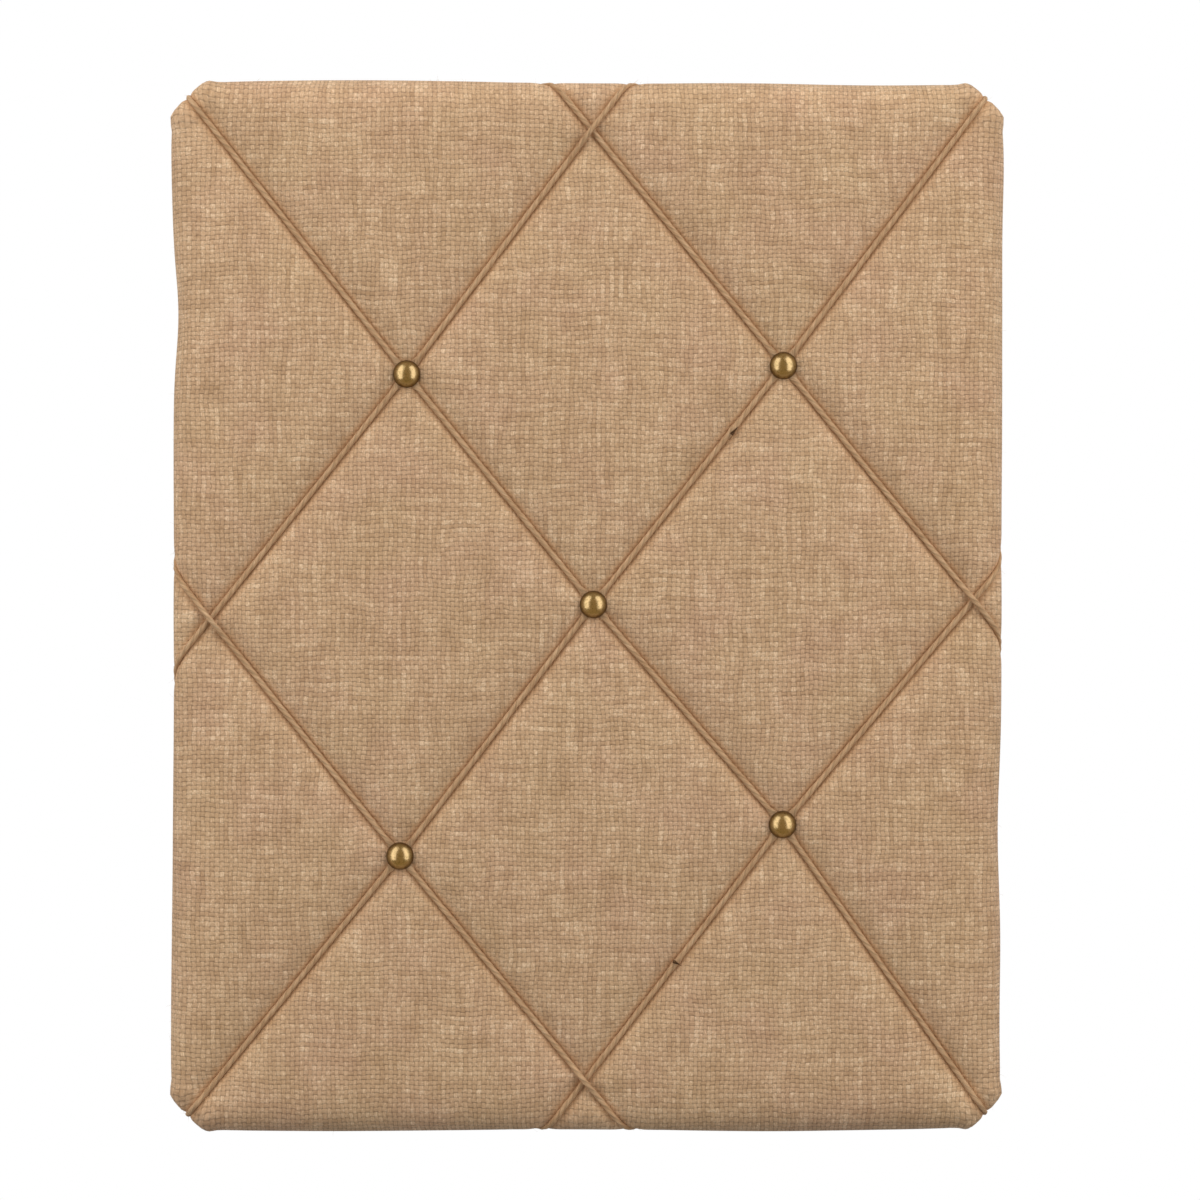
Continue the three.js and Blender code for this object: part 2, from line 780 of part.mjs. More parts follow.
function strapGeometry() {
  const folded = new THREE.ExtrudeGeometry(strapProfile(), {
    depth: strapWidth,
    curveSegments: 3 * bendSegments,
    bevelEnabled: false,
  });
  folded.translate(0, 0, -strapWidth / 2);
  const axes = new THREE.Matrix4().makeBasis(
    new THREE.Vector3(0, 1, 0),
    new THREE.Vector3(0, 0, 1),
    new THREE.Vector3(1, 0, 0),
  );
  folded.applyMatrix4(axes);
  const plan = new THREE.ExtrudeGeometry(strapPlan(), {
    depth: 2 * (eyeOuter + overrun),
    curveSegments: holeSides,
    bevelEnabled: false,
  });
  plan.rotateX(quarterTurn);
  plan.translate(0, eyeOuter + overrun, 0);
  let solid = solidOf(folded).intersect(solidOf(plan));
  for (const distance of screwDistances) {
    const hole = new THREE.LatheGeometry(screwProfile(seatGap, screwLength), screwSides);
    hole.translate(0, strapTop, -distance);
    solid = solid.subtract(solidOf(hole));
  }
  return geometryOf(solid);
}

// D ring: one bent wire whose ends meet in the middle of the bar, inside the strap's eye
function ringGeometry() {
  const half = ringWidth / 2;
  const stations = [];
  const bend = (x, z, radius, from, to, count) => {
    for (let step = 0; step <= count; step += 1) {
      const angle = from + ((to - from) * step) / count;
      stations.push(new THREE.Vector3(x + radius * Math.cos(angle), 0, z + radius * Math.sin(angle)));
    }
  };
  stations.push(new THREE.Vector3(seatGap / 2, 0, 0));
  bend(half - ringBendRadius, -ringBendRadius, ringBendRadius, quarterTurn, 0, bendSegments);
  bend(0, -ringLeg, half, 0, -2 * quarterTurn, 4 * bendSegments);
  bend(ringBendRadius - half, -ringBendRadius, ringBendRadius, 2 * quarterTurn, quarterTurn, bendSegments);
  stations.push(new THREE.Vector3(-seatGap / 2, 0, 0));
  return sweep(stations, barRadius, wireSides);
}

function buildHanger(side, x) {
  const group = new THREE.Group();
  group.position.set(x, eyeLevel, hangerHeight);
  group.add(namedMesh(`${side}_hanger_strap`, strapGeometry(), materials.nickel));
  const ring = namedMesh(`${side}_d_ring`, ringGeometry(), materials.nickel);
  ring.rotation.x = ringLean;
  group.add(ring);
  screwDistances.forEach((distance, index) => {
    const name = `${side}_hanger_screw_${['upper', 'lower'][index]}`;
    const screw = namedMesh(name, screwGeometry(), materials.nickel);
    screw.position.set(0, strapTop, -distance);
    group.add(screw);
  });
  return group;
}

function screwHole(x, distance) {
  const hole = new THREE.LatheGeometry(screwProfile(seatGap, screwLength), screwSides);
  hole.translate(x, eyeLevel + strapTop, hangerHeight - distance);
  return solidOf(hole);
}

const board = new THREE.Group();
board.name = 'french_memo_board';

const cordMeshes = cords.map(buildCord);
board.add(...cordMeshes);

for (const place of Object.keys(nailPlaceShares)) {
  board.add(buildNail(place));
}

for (const cord of cords) {
  cord.staples.forEach((end, index) => {
    board.add(buildStaple(`${cord.name}_staple_${index + 1}`, end));
  });
}

board.add(buildHanger('left', -hangerX), buildHanger('right', hangerX));

// Holes that the fasteners make in the layers beneath them
const fastenerHoles = [
  ...cords.flatMap((cord) => cord.staples.map(stapleHoles)),
  ...[-hangerX, hangerX].flatMap((x) => screwDistances.map((distance) => screwHole(x, distance))),
  ...Object.keys(nailPlaceShares).map((place) => nailHole(place, nailShankDiameter / 2 + seatGap)),
];

function pierced(solid) {
  return geometryOf(fastenerHoles.reduce((left, hole) => left.subtract(hole), solid));
}

// Jute cover: a thin skin round the padded board, open at the back between the turned-in edges
const windowOutline = boardOutline(turnInWidth, turnInCornerCut);
const window = layer(windowOutline, backingFace + overrun, boardFront, 0, 1);
const cover = wrappedForm(0).subtract(wrappedForm(clothThickness)).subtract(solidOf(window));
board.add(namedMesh('jute_cover', pierced(cover), materials.jute));

// Wadding: a slab with the same soft rim, cut flat where it lies on the board
const waddingSlab = layer(boardOutline(coverInset), waddingBack, clothFront - overrun, 0, 1);
const wadding = wrappedForm(clothThickness + seatGap).intersect(solidOf(waddingSlab));
board.add(namedMesh('wadding', pierced(wadding), materials.wadding));

// Fibreboard panel, its rims eased so that the folded cloth passes round them
const panelEase = foldRadius - clothThickness - seatGap;
const panel = layer(boardOutline(coreInset), boardBack, boardFront, panelEase, 1);
board.add(namedMesh('fibreboard_panel', pierced(solidOf(panel)), materials.board));

// Backing sheet: one flat sheet with cut corners
const backingOutline = boardOutline(backingInset, backingCornerCut);
const backing = layer(backingOutline, backingFace, backingFace - backingThickness, 0, 1);
board.add(namedMesh('backing_sheet', backing, materials.backing));

export default board;
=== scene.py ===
# %% [markdown]
# # A french memo board, from its frame to its fuzz
# The object is a padded board under jute cloth. Six jute cords cross its face in a lattice, five domed
# brass nails pin them down, and notes slide in behind them. It hangs from two D rings on its back.
# Everything that is rigid was already built and packed as a frame. This script dresses that frame:
# it replaces the plain soft solids with cloth that swells between the cords, and gives every piece a finish.
# All sizes are in metres, and MM is one millimetre.

# %% Load the frame
import math
import random

import bmesh
import bpy
from mathutils import Matrix, Vector, noise
from mathutils.kdtree import KDTree


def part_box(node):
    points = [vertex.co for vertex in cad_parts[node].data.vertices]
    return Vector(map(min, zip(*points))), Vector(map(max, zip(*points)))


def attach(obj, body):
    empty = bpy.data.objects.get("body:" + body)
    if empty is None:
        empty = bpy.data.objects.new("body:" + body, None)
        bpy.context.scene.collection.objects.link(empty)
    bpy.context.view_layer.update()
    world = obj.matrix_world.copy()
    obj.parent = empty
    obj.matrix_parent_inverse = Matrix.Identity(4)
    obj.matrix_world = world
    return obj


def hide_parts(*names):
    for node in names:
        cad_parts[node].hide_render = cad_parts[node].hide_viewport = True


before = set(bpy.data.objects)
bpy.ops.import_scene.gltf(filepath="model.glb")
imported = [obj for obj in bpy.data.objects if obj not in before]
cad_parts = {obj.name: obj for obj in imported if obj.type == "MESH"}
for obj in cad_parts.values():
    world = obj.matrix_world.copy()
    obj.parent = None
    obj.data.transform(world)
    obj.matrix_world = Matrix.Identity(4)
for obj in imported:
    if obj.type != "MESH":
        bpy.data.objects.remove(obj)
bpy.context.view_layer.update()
scene = bpy.context.scene
scene.view_settings.view_transform = "Standard"
MM = 0.001
print("nodes in the frame:", len(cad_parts))

# %% [markdown]
# ## The camera
# A product photograph of a flat thing is taken square on with a long lens, so that its sides stay parallel.
# The lens and the width that the picture takes in give the distance. A square picture uses the sensor's
# full width, so the frame's width over the distance is the sensor's width over the focal length.

# %% Camera square on to the face
cover_low, cover_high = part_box("jute_cover")
face_level = cover_low.y
picture_width = 579 * MM
picture_middle = Vector((6.0 * MM, face_level, 2.7 * MM))
camera_data = bpy.data.cameras.new("camera")
camera_data.lens = 100
camera_data.sensor_width = 36
camera = bpy.data.objects.new("camera", camera_data)
camera_distance = picture_width * camera_data.lens / camera_data.sensor_width
camera.location = picture_middle - Vector((0, camera_distance, 0))
camera.rotation_euler = (math.radians(90), 0, 0)
scene.collection.objects.link(camera)
scene.camera = camera
print("camera stands back", round(camera_distance, 3))

# %% [markdown]
# ## One helper for nodes, one for colours
# A material is a small program of nodes. One helper adds a node, sets its options and fills its inputs,
# either with a value or with a link from another node. A few short ones use it for what comes back often:
# a sum, a colour ramp, a blend, noise. Colours are written as the hex values that one would pick from a
# screen, so they are turned from sRGB into the linear light that the shader works in.

# %% Helpers for colours and nodes
def linear(code):
    """A hex colour such as "b49474" as linear red, green, blue and full alpha."""
    shares = [int(code[place:place + 2], 16) / 255 for place in (0, 2, 4)]
    return tuple(s / 12.92 if s <= 0.04045 else ((s + 0.055) / 1.055) ** 2.4 for s in shares) + (1.0,)


def add(tree, kind, inputs=(), **settings):
    """Adds a node. inputs are values or links for its sockets, listed in order or in a dict by name."""
    node = tree.nodes.new("ShaderNode" + kind)
    for name, value in settings.items():
        setattr(node, name, value)
    for socket, source in inputs.items() if isinstance(inputs, dict) else enumerate(inputs):
        if isinstance(source, bpy.types.Node):
            source = source.outputs[0]
        if isinstance(source, bpy.types.NodeSocket):
            tree.links.new(source, node.inputs[socket])
        else:
            node.inputs[socket].default_value = source
    return node


def calc(tree, operation, *values, kind="Math", **settings):
    """Adds a node that calculates, with numbers or, if its kind is VectorMath, with vectors."""
    return add(tree, kind, values, operation=operation, **settings)


def ramp(tree, source, *stops):
    """Adds a colour ramp. Each stop is a place from 0 to 1 and a hex colour."""
    node = add(tree, "ValToRGB", [source])
    elements = node.color_ramp.elements
    while len(elements) < len(stops):
        elements.new(0.5)
    for element, (place, code) in zip(elements, stops):
        element.position = place
        element.color = linear(code)
    return node


def mix_colours(tree, share, a, b, blend="MIX"):
    """Blends colour b over colour a by a share, and gives the socket of the result."""
    return add(tree, "Mix", {"Factor": share, "A": a, "B": b}, data_type="RGBA", blend_type=blend).outputs[2]


def object_noise(tree, scale, detail):
    """Noise that is fixed in the piece. Its spots are about one over the scale wide, in metres."""
    place = add(tree, "TexCoord").outputs["Object"]
    return add(tree, "TexNoise", {"Vector": place, "Scale": scale, "Detail": detail})


def new_material(name):
    """A material and its empty node tree."""
    material = bpy.data.materials.new(name)
    material.use_nodes = True
    material.node_tree.nodes.clear()
    return material, material.node_tree


def show(tree, kind, inputs):
    """Adds a shader and sends it to the material's surface."""
    add(tree, "OutputMaterial", {"Surface": add(tree, kind, inputs)})


print("a mid jute colour in linear light:", [round(c, 3) for c in linear("b49474")])

# %% [markdown]
# ## Light and background
# The photograph has a white background, soft light from both sides and more of it from above than below.
# The nails tell where the lamps were: each dome mirrors two tall cream rectangles. So two tall panels stand
# to the left and right, and a wide one hangs above. The white behind the board is only painted for rays
# that look at it, straight or in a mirror or through glass, and it adds no light to the object. Mirrors
# see a dim warm room on the camera's side of it, which gives the brass its colour.

# %% World
world = bpy.data.worlds.new("studio")
scene.world = world
world.use_nodes = True
sky = world.node_tree
sky.nodes.clear()
room_light = 0.36
white = (1, 1, 1, 1)
turn_start, turn_end = -0.15, 0.25
direction = add(sky, "SeparateXYZ", [add(sky, "TexCoord").outputs["Generated"]])
from_above = add(sky, "MapRange", [direction.outputs["Z"], -0.7, 0.7, 0.62, 1.2])
room_strength = calc(sky, "MULTIPLY", from_above, room_light)
room = add(sky, "Background", {"Color": linear("fffdf9"), "Strength": room_strength})
behind = add(sky, "MapRange", [direction.outputs["Y"], turn_start, turn_end, 0.34, 1.0])
whiteness = add(sky, "MapRange", [direction.outputs["Y"], turn_start, turn_end, 0.0, 1.0])
mirror_colour = mix_colours(sky, whiteness, linear("ffdc98"), white)
mirrored = add(sky, "Background", {"Color": mirror_colour, "Strength": behind})
seen = add(sky, "Background", {"Color": white, "Strength": 1.0})
path = add(sky, "LightPath")
looks_into = calc(sky, "MAXIMUM", path.outputs["Is Glossy Ray"], path.outputs["Is Transmission Ray"])
with_mirrors = add(sky, "MixShader", [looks_into, room, mirrored])
with_camera = add(sky, "MixShader", [path.outputs["Is Camera Ray"], with_mirrors, seen])
add(sky, "OutputWorld", {"Surface": with_camera})
print("the room alone lights a pale card to", room_light)

# %% Lamps
def lamp(name, width, height, radiance, azimuth, elevation, distance, in_mirrors):
    """A soft panel that looks at the board. Azimuth is from the camera's side, to the right."""
    data = bpy.data.lights.new(name, "AREA")
    data.shape = "RECTANGLE"
    data.size = width
    data.size_y = height
    data.energy = radiance * math.pi * width * height
    data.color = linear("fffcf7")[:3]
    panel = bpy.data.objects.new(name, data)
    turn, tilt = math.radians(azimuth), math.radians(elevation)
    away = Vector((math.sin(turn) * math.cos(tilt), -math.cos(turn) * math.cos(tilt), math.sin(tilt)))
    panel.location = away * distance
    panel.rotation_euler = away.to_track_quat("Z", "Y").to_euler()
    panel.visible_camera = False
    panel.visible_glossy = in_mirrors
    scene.collection.objects.link(panel)


for name, azimuth in (("panel_left", -56), ("panel_right", 56)):
    lamp(name, width=0.8, height=2.2, radiance=1.47, azimuth=azimuth, elevation=17, distance=1.05,
         in_mirrors=True)
lamp("panel_above", width=1.6, height=1.0, radiance=1.05, azimuth=0, elevation=66, distance=1.5,
     in_mirrors=False)
lamp("panel_behind", width=2.0, height=2.0, radiance=0.55, azimuth=180, elevation=25, distance=2.2,
     in_mirrors=False)

# %% [markdown]
# ## The floor
# The board hangs, so the floor lies well below it, out of the photograph's frame. It is a plain pale disc
# that fades at its rim, so no hard edge shows in the other views, and the board's soft shadow falls on it.
# It sends no light back up: the photograph's lower edge is dark, and its nails mirror no floor.

# %% Floor
floor_level = -0.62
floor_radius = 1.25
floor_bm = bmesh.new()
bmesh.ops.create_circle(floor_bm, cap_ends=True, segments=96, radius=floor_radius)
floor_mesh = bpy.data.meshes.new("floor")
floor_bm.to_mesh(floor_mesh)
floor_bm.free()
floor_mesh.transform(Matrix.Translation((0, 0, floor_level)))
floor = bpy.data.objects.new("floor", floor_mesh)
scene.collection.objects.link(floor)
paper, tree = new_material("matt_paper_floor")
spot = add(tree, "TexCoord").outputs["Object"]
from_middle = calc(tree, "ADD", spot, (0, 0, -floor_level), kind="VectorMath")
away = calc(tree, "LENGTH", from_middle, kind="VectorMath").outputs["Value"]
fade = add(tree, "MapRange", [away, 0.35 * floor_radius, floor_radius], interpolation_type="SMOOTHSTEP")
matt = add(tree, "BsdfDiffuse", {"Color": linear("f2f1ee")})
show(tree, "MixShader", [fade, matt, add(tree, "BsdfTransparent")])
floor_mesh.materials.append(paper)
floor.visible_glossy = False
floor.visible_diffuse = False
print("floor lies", round(cover_low.z - floor_level, 3), "below the board")

# %% [markdown]
# ## Where things are
# The frame says where the nails, the cover and the rings are. The rest follows from how the board is made:
# the cloth rolls softly over the padded front edge, runs down the side, folds sharply and is turned in at
# the back. Cords and cloth take the same road, so one function gives it: how far out and how deep a thread
# is, once it has gone some distance past the flat of the face.

# %% Sizes of the wrapped board
cover_half_width = cover_high.x
cover_half_height = cover_high.z
cloth_back = cover_high.y
corner_cut = 15.1 * MM
roll_radius = 7 * MM
fold_radius = 2 * MM
cloth_thickness = 1 * MM
turn_in_half_width = 155 * MM
turn_in_half_height = 207.5 * MM
turn_in_cut = 12 * MM
cut_shrink = 2 - math.sqrt(2)
side_length = cloth_back - fold_radius - (face_level + roll_radius)
back_fade = 8 * MM


def wrapped(gone, stand=0.0):
    """Out past the start of the roll, level along Y, and outward slope, after going so far round the edge.
    stand is how far the thread or the cord's middle stands off the cloth."""
    roll = (roll_radius + stand) * math.pi / 2
    fold = (fold_radius + stand) * math.pi / 2
    if gone <= roll:
        angle = gone / (roll_radius + stand)
        out = (roll_radius + stand) * math.sin(angle)
        level = face_level + roll_radius - (roll_radius + stand) * math.cos(angle)
        return out, level, angle
    if gone <= roll + side_length:
        return roll_radius + stand, face_level + roll_radius + gone - roll, math.pi / 2
    if gone <= roll + side_length + fold:
        angle = (gone - roll - side_length) / (fold_radius + stand)
        out = roll_radius - fold_radius + (fold_radius + stand) * math.cos(angle)
        level = cloth_back - fold_radius + (fold_radius + stand) * math.sin(angle)
        return out, level, math.pi / 2 + angle
    out = roll_radius - fold_radius - (gone - roll - side_length - fold)
    return out, cloth_back + stand, math.pi


fold_end = (roll_radius + fold_radius) * math.pi / 2 + side_length
print("cloth goes", round(fold_end / MM, 1), "mm from the face round to the back")

# %% [markdown]
# ## The routes of the cords
# Each cord comes over an edge or a cut corner, runs straight to its nails and leaves over another edge.
# The routes repeat those of the frame: straight from nail to nail, then on over the roll without a kink,
# as a taut cord goes, and 24 mm onwards across the back, past its staple. On its way round the edge the
# padding pushes it outwards a little, most of all at a corner. Where two cords cross, one climbs over the
# other in a low hump, and under a nail both are pressed flat. The photograph's outline is a little uneven,
# so ten full or hollow places along the edge are listed, each in mm: place, amount and reach.

# %% Cord routes
cord_radius = 1.5 * MM
cord_gap = 0.3 * MM
cord_stand = cord_radius + cord_gap
cord_tail = 24 * MM
staple_setback = 14 * MM
crossing_lift = 3.0 * MM
crossing_reach = 13 * MM
nail_lift = 1.7 * MM
edge_push = 0.8 * MM
pressed_height = 0.5
pressed_width = 1.6
nail_names = ("upper_left", "upper_right", "centre", "lower_left", "lower_right")
nails = {}
for name in nail_names:
    low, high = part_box(f"nail_{name}")
    nails[name] = Vector(((low.x + high.x) / 2, (low.z + high.z) / 2))
nail_low, nail_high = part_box("nail_centre")
nail_radius = (nail_high.x - nail_low.x) / 2
outer_half_width = cover_half_width + 2 * cord_radius + cord_gap
outer_half_height = cover_half_height + 2 * cord_radius + cord_gap
corner_inset = 8.5 * MM
corner_x = outer_half_width - corner_inset
corner_z = outer_half_height - corner_inset
corner_reach = (cover_half_width + cover_half_height - corner_cut) / math.sqrt(2)
routes = {
    "cord_long_falling": (
        (-corner_x, corner_z), ("upper_left", "centre", "lower_right"), (corner_x, -corner_z)),
    "cord_long_rising": (
        (corner_x, corner_z), ("upper_right", "centre", "lower_left"), (-corner_x, -corner_z)),
    "cord_top_to_left": (
        (19.6 * MM, outer_half_height), ("upper_left",), (-outer_half_width, -28.8 * MM)),
    "cord_top_to_right": (
        (-16.8 * MM, outer_half_height), ("upper_right",), (outer_half_width, -14.6 * MM)),
    "cord_bottom_to_left": (
        (-outer_half_width, 16.2 * MM), ("lower_left",), (18.0 * MM, -outer_half_height)),
    "cord_bottom_to_right": (
        (outer_half_width, 19.2 * MM), ("lower_right",), (-19.6 * MM, -outer_half_height)),
}
lies_on = {
    "cord_long_falling": (),
    "cord_long_rising": ("cord_long_falling",),
    "cord_top_to_left": ("cord_long_falling", "cord_top_to_right"),
    "cord_top_to_right": ("cord_long_rising", "cord_bottom_to_right"),
    "cord_bottom_to_left": ("cord_long_rising", "cord_top_to_left", "cord_bottom_to_right"),
    "cord_bottom_to_right": ("cord_long_falling",),
}
corner_middle = Vector((cover_half_width - corner_cut / 2, cover_half_height - corner_cut / 2))
corner_push = 3.2 * MM
corner_fade_start = 12 * MM
corner_fade_end = 26 * MM
full_places = (
    (-200, 222, 1.0, 30), (-200, 142, -2.6, 27), (-200, -215, 0.9, 60),
    (200, 218, 1.5, 28), (200, -110, -2.1, 40), (200, -200, -1.4, 45),
    (-110, 253, 1.2, 70), (140, 253, -1.2, 60), (-120, -253, 1.2, 80), (80, -253, 1.2, 110),
)


def eased(value, start, end):
    """0 up to start, 1 from end on, and a soft step between."""
    share = min(max((value - start) / (end - start), 0), 1)
    return share * share * (3 - 2 * share)


def cornerness(place, outward):
    """1 on a cut corner's slanting side, where the cloth is drawn tight, and 0 on the straight sides."""
    away = (Vector((abs(place.x), abs(place.z))) - corner_middle).length
    near = eased(-away, -corner_fade_end, -corner_fade_start)
    level = Vector((abs(outward.x), abs(outward.z)))
    slant = (level.x + level.y) / math.sqrt(2) / max(level.length, 0.01)
    return near * eased(slant, 0.74, 0.97) * level.length


def filled_out(place, outward):
    """How far the padding pushes the cloth outwards at the edge, beyond the plain shape of the frame."""
    push = 0.0
    for x, z, amount, reach in full_places:
        off = (Vector((place.x, place.z)) - Vector((x, z)) * MM).length
        push += amount * MM * math.exp(-((off / (reach * MM)) ** 2))
    push *= Vector((outward.x, outward.z)).length
    push += corner_push * cornerness(place, outward)
    return push * eased(place.y, cloth_back, cloth_back - back_fade)


def edge_at(aim):
    """The outward direction of the edge that a cord passes, and the cloth's distance along it."""
    on_side = outer_half_width - abs(aim.x) < MM
    on_end = outer_half_height - abs(aim.y) < MM
    if on_side:
        return Vector((math.copysign(1, aim.x), 0)), cover_half_width
    if on_end:
        return Vector((0, math.copysign(1, aim.y))), cover_half_height
    return Vector((math.copysign(1, aim.x), math.copysign(1, aim.y))).normalized(), corner_reach


def leaving(nail, aim):
    """Where the straight line from a nail to its aim reaches the roll of the edge."""
    normal, reach = edge_at(aim)
    heading = (aim - nail).normalized()
    return nail + heading * ((reach - roll_radius - nail.dot(normal)) / heading.dot(normal))


lines = {}
for name, (first_aim, under, last_aim) in routes.items():
    places = [nails[nail] for nail in under]
    lines[name] = [leaving(places[0], Vector(first_aim)), *places, leaving(places[-1], Vector(last_aim))]
print("straight runs:", {name: len(line) - 1 for name, line in lines.items()})


# %% Crossings
def crossing(a, b, c, d):
    """Where the stretch from a to b crosses that from c to d, or None."""
    ab, cd, ac = b - a, d - c, c - a
    turn = ab.x * cd.y - ab.y * cd.x
    share_ab = (ac.x * cd.y - ac.y * cd.x) / turn
    share_cd = (ac.x * ab.y - ac.y * ab.x) / turn
    return a + ab * share_ab if 0 < share_ab < 1 and 0 < share_cd < 1 else None


humps = {}
for name, line in lines.items():
    humps[name] = []
    for other, other_line in lines.items():
        shared = [nail for nail in routes[name][1] if nail in routes[other][1]]
        if other in lies_on[name]:
            humps[name] += [(nails[nail], 0.8 * nail_radius, nail_lift) for nail in shared]
            for a, b in zip(line, line[1:]):
                for c, d in zip(other_line, other_line[1:]):
                    place = crossing(a, b, c, d)
                    if place and all((place - nails[nail]).length > nail_radius for nail in shared):
                        humps[name].append((place, crossing_reach, crossing_lift))
print("humps:", {name: len(found) for name, found in humps.items()})


def lift_at(name, place):
    """How far a cord is lifted off the cloth at a place on the face."""
    best = 0.0
    for middle, reach, lift in humps[name]:
        share = min((place - middle).length / reach, 1)
        best = max(best, lift * math.cos(share * math.pi / 2) ** 2)
    return best


def pressed_at(place):
    """How hard a nail presses a cord, from 0 to 1, at a place on the face."""
    nearest = min((place - nail).length for nail in nails.values())
    share = min(max((nearest / nail_radius - 1.0) / 0.6, 0), 1)
    return 1 - share * share * (3 - 2 * share)


# %% Stations along each cord
station_step = 1.4 * MM


def wrapped_end(name, nail, aim):
    """Stations from the roll to the end of the tail: place, outward direction, how hard it is pressed."""
    normal, reach = edge_at(aim)
    tangent = Vector((-normal.y, normal.x))
    start = leaving(nail, aim)
    heading = (aim - nail).normalized()
    slant = heading.dot(normal)
    drift = heading.dot(tangent) / slant
    round_edge = (roll_radius + fold_radius + 2 * cord_stand) * math.pi / 2 + side_length
    total = round_edge + cord_tail * slant
    push = edge_push if normal.x * normal.y == 0 else 0.0
    count = math.ceil(total / slant / station_step)
    stations = []
    for step in range(1, count + 1):
        gone = total * step / count
        out, level, angle = wrapped(gone, cord_stand)
        plan = normal * (reach - roll_radius + out) + tangent * (start.dot(tangent) + gone * drift)
        outward = Vector((normal.x * math.sin(angle), -math.cos(angle), normal.y * math.sin(angle)))
        lift = lift_at(name, start + heading * (gone / slant))
        lift += push * math.sin(math.pi * min(gone / round_edge, 1))
        groove = Vector((plan.x, level, plan.y)) + outward * lift
        grooves.append(groove)
        stations.append((groove + outward * filled_out(groove, outward), outward, 0.0))
    gone = round_edge + staple_setback * slant
    out, level, angle = wrapped(gone, cord_stand)
    held = normal * (reach - roll_radius + out) + tangent * (start.dot(tangent) + gone * drift)
    return stations, Vector((held.x, level, held.y))


grooves = []
cord_stations = {}
staple_places = {}
for name, (first_aim, under, last_aim) in routes.items():
    head, head_staple = wrapped_end(name, nails[under[0]], Vector(first_aim))
    tail, tail_staple = wrapped_end(name, nails[under[-1]], Vector(last_aim))
    middle = []
    for a, b in zip(lines[name], lines[name][1:]):
        count = math.ceil((b - a).length / station_step)
        for step in range(count + (b is lines[name][-1])):
            plan = a.lerp(b, step / count)
            pressed = pressed_at(plan)
            stand = cord_gap + cord_radius * (1 - (1 - pressed_height) * pressed)
            level = face_level - stand - lift_at(name, plan)
            middle.append((Vector((plan.x, level, plan.y)), Vector((0, -1, 0)), pressed))
            grooves.append(middle[-1][0])
    cord_stations[name] = [*reversed(head), *middle, *tail]
    staple_places[name] = ((head_staple, head[-1][0] - head[-4][0]), (tail_staple, tail[-1][0] - tail[-4][0]))
cord_lengths = {}
for name, stations in cord_stations.items():
    cord_lengths[name] = sum((b[0] - a[0]).length for a, b in zip(stations, stations[1:]))
print("cord lengths in mm:", {name: round(length / MM) for name, length in cord_lengths.items()})

# %% [markdown]
# ## Cutting the cloth
# The cloth starts as one flat face with the board's outline. Bisecting it with a family of planes draws
# a grid on it, which is quicker and cleaner than placing thousands of points. Points next to a cord are
# slid onto the cord's line, so that the cloth can be held down exactly there. Then the rim is extruded
# again and again, each time a little further along the road round the edge. The UV map is kept at the
# cloth's flat, uncut coordinates all the way, so that the weave stays square to the threads.

# %% Outline and grid of the cloth
cloth_cell = 6.75 * MM
uv_name = "cloth"


def outline_points(half_width, half_height, cut):
    """The eight corners of a rectangle with cut corners, anticlockwise from the right-hand side."""
    x, z = half_width - cut, half_height - cut
    right = [(half_width, -z), (half_width, z), (x, half_height)]
    left = [(-x, half_height), (-half_width, z), (-half_width, -z)]
    return [*right, *left, (-x, -half_height), (x, -half_height)]


def flat_outline(bm, level, half_width, half_height, cut, radius):
    """A face with eight corners that looks along -Y. A radius above 0 eases them."""
    verts = [bm.verts.new((x, level, z)) for x, z in outline_points(half_width, half_height, cut)]
    bm.faces.new(verts)
    if radius > 0:
        bmesh.ops.bevel(bm, geom=verts, offset=radius * math.tan(math.pi / 8), offset_type="OFFSET",
                        segments=3, profile=0.5, affect="VERTICES", material=-1)


def cut_grid(bm, cell, half_width, half_height):
    """Draws a square grid on everything in the bmesh."""
    for axis, half in ((Vector((1, 0, 0)), half_width), (Vector((0, 0, 1)), half_height)):
        count = math.floor(half / cell - 0.4)
        for step in range(-count, count + 1):
            everything = bm.verts[:] + bm.edges[:] + bm.faces[:]
            bmesh.ops.bisect_plane(bm, geom=everything, plane_co=axis * step * cell, plane_no=axis, dist=1e-7)


flat_half_width = cover_half_width - roll_radius
flat_half_height = cover_half_height - roll_radius
cloth = bmesh.new()
flat_outline(cloth, face_level, flat_half_width, flat_half_height, corner_cut - roll_radius * cut_shrink, 0)
cut_grid(cloth, cloth_cell, flat_half_width, flat_half_height)
print("faces on the flat of the cloth:", len(cloth.faces))


# %% Slide points onto the cord lines
def nearest_on_lines(place):
    """The nearest point of all the straight runs to a place on the face."""
    best = None
    for line in lines.values():
        for a, b in zip(line, line[1:]):
            along = (b - a).normalized()
            share = min(max((place - a).dot(along), 0), (b - a).length)
            spot = a + along * share
            if best is None or (spot - place).length < (best - place).length:
                best = spot
    return best


slide_reach = 0.39 * cloth_cell
held_down = []
for vert in cloth.verts:
    if not vert.is_boundary:
        plan = Vector((vert.co.x, vert.co.z))
        spot = nearest_on_lines(plan)
        if (spot - plan).length < slide_reach:
            vert.co.x, vert.co.z = spot.x, spot.y
            held_down.append(vert)
bmesh.ops.connect_verts(cloth, verts=held_down)
print("points on the cord lines:", len(held_down))

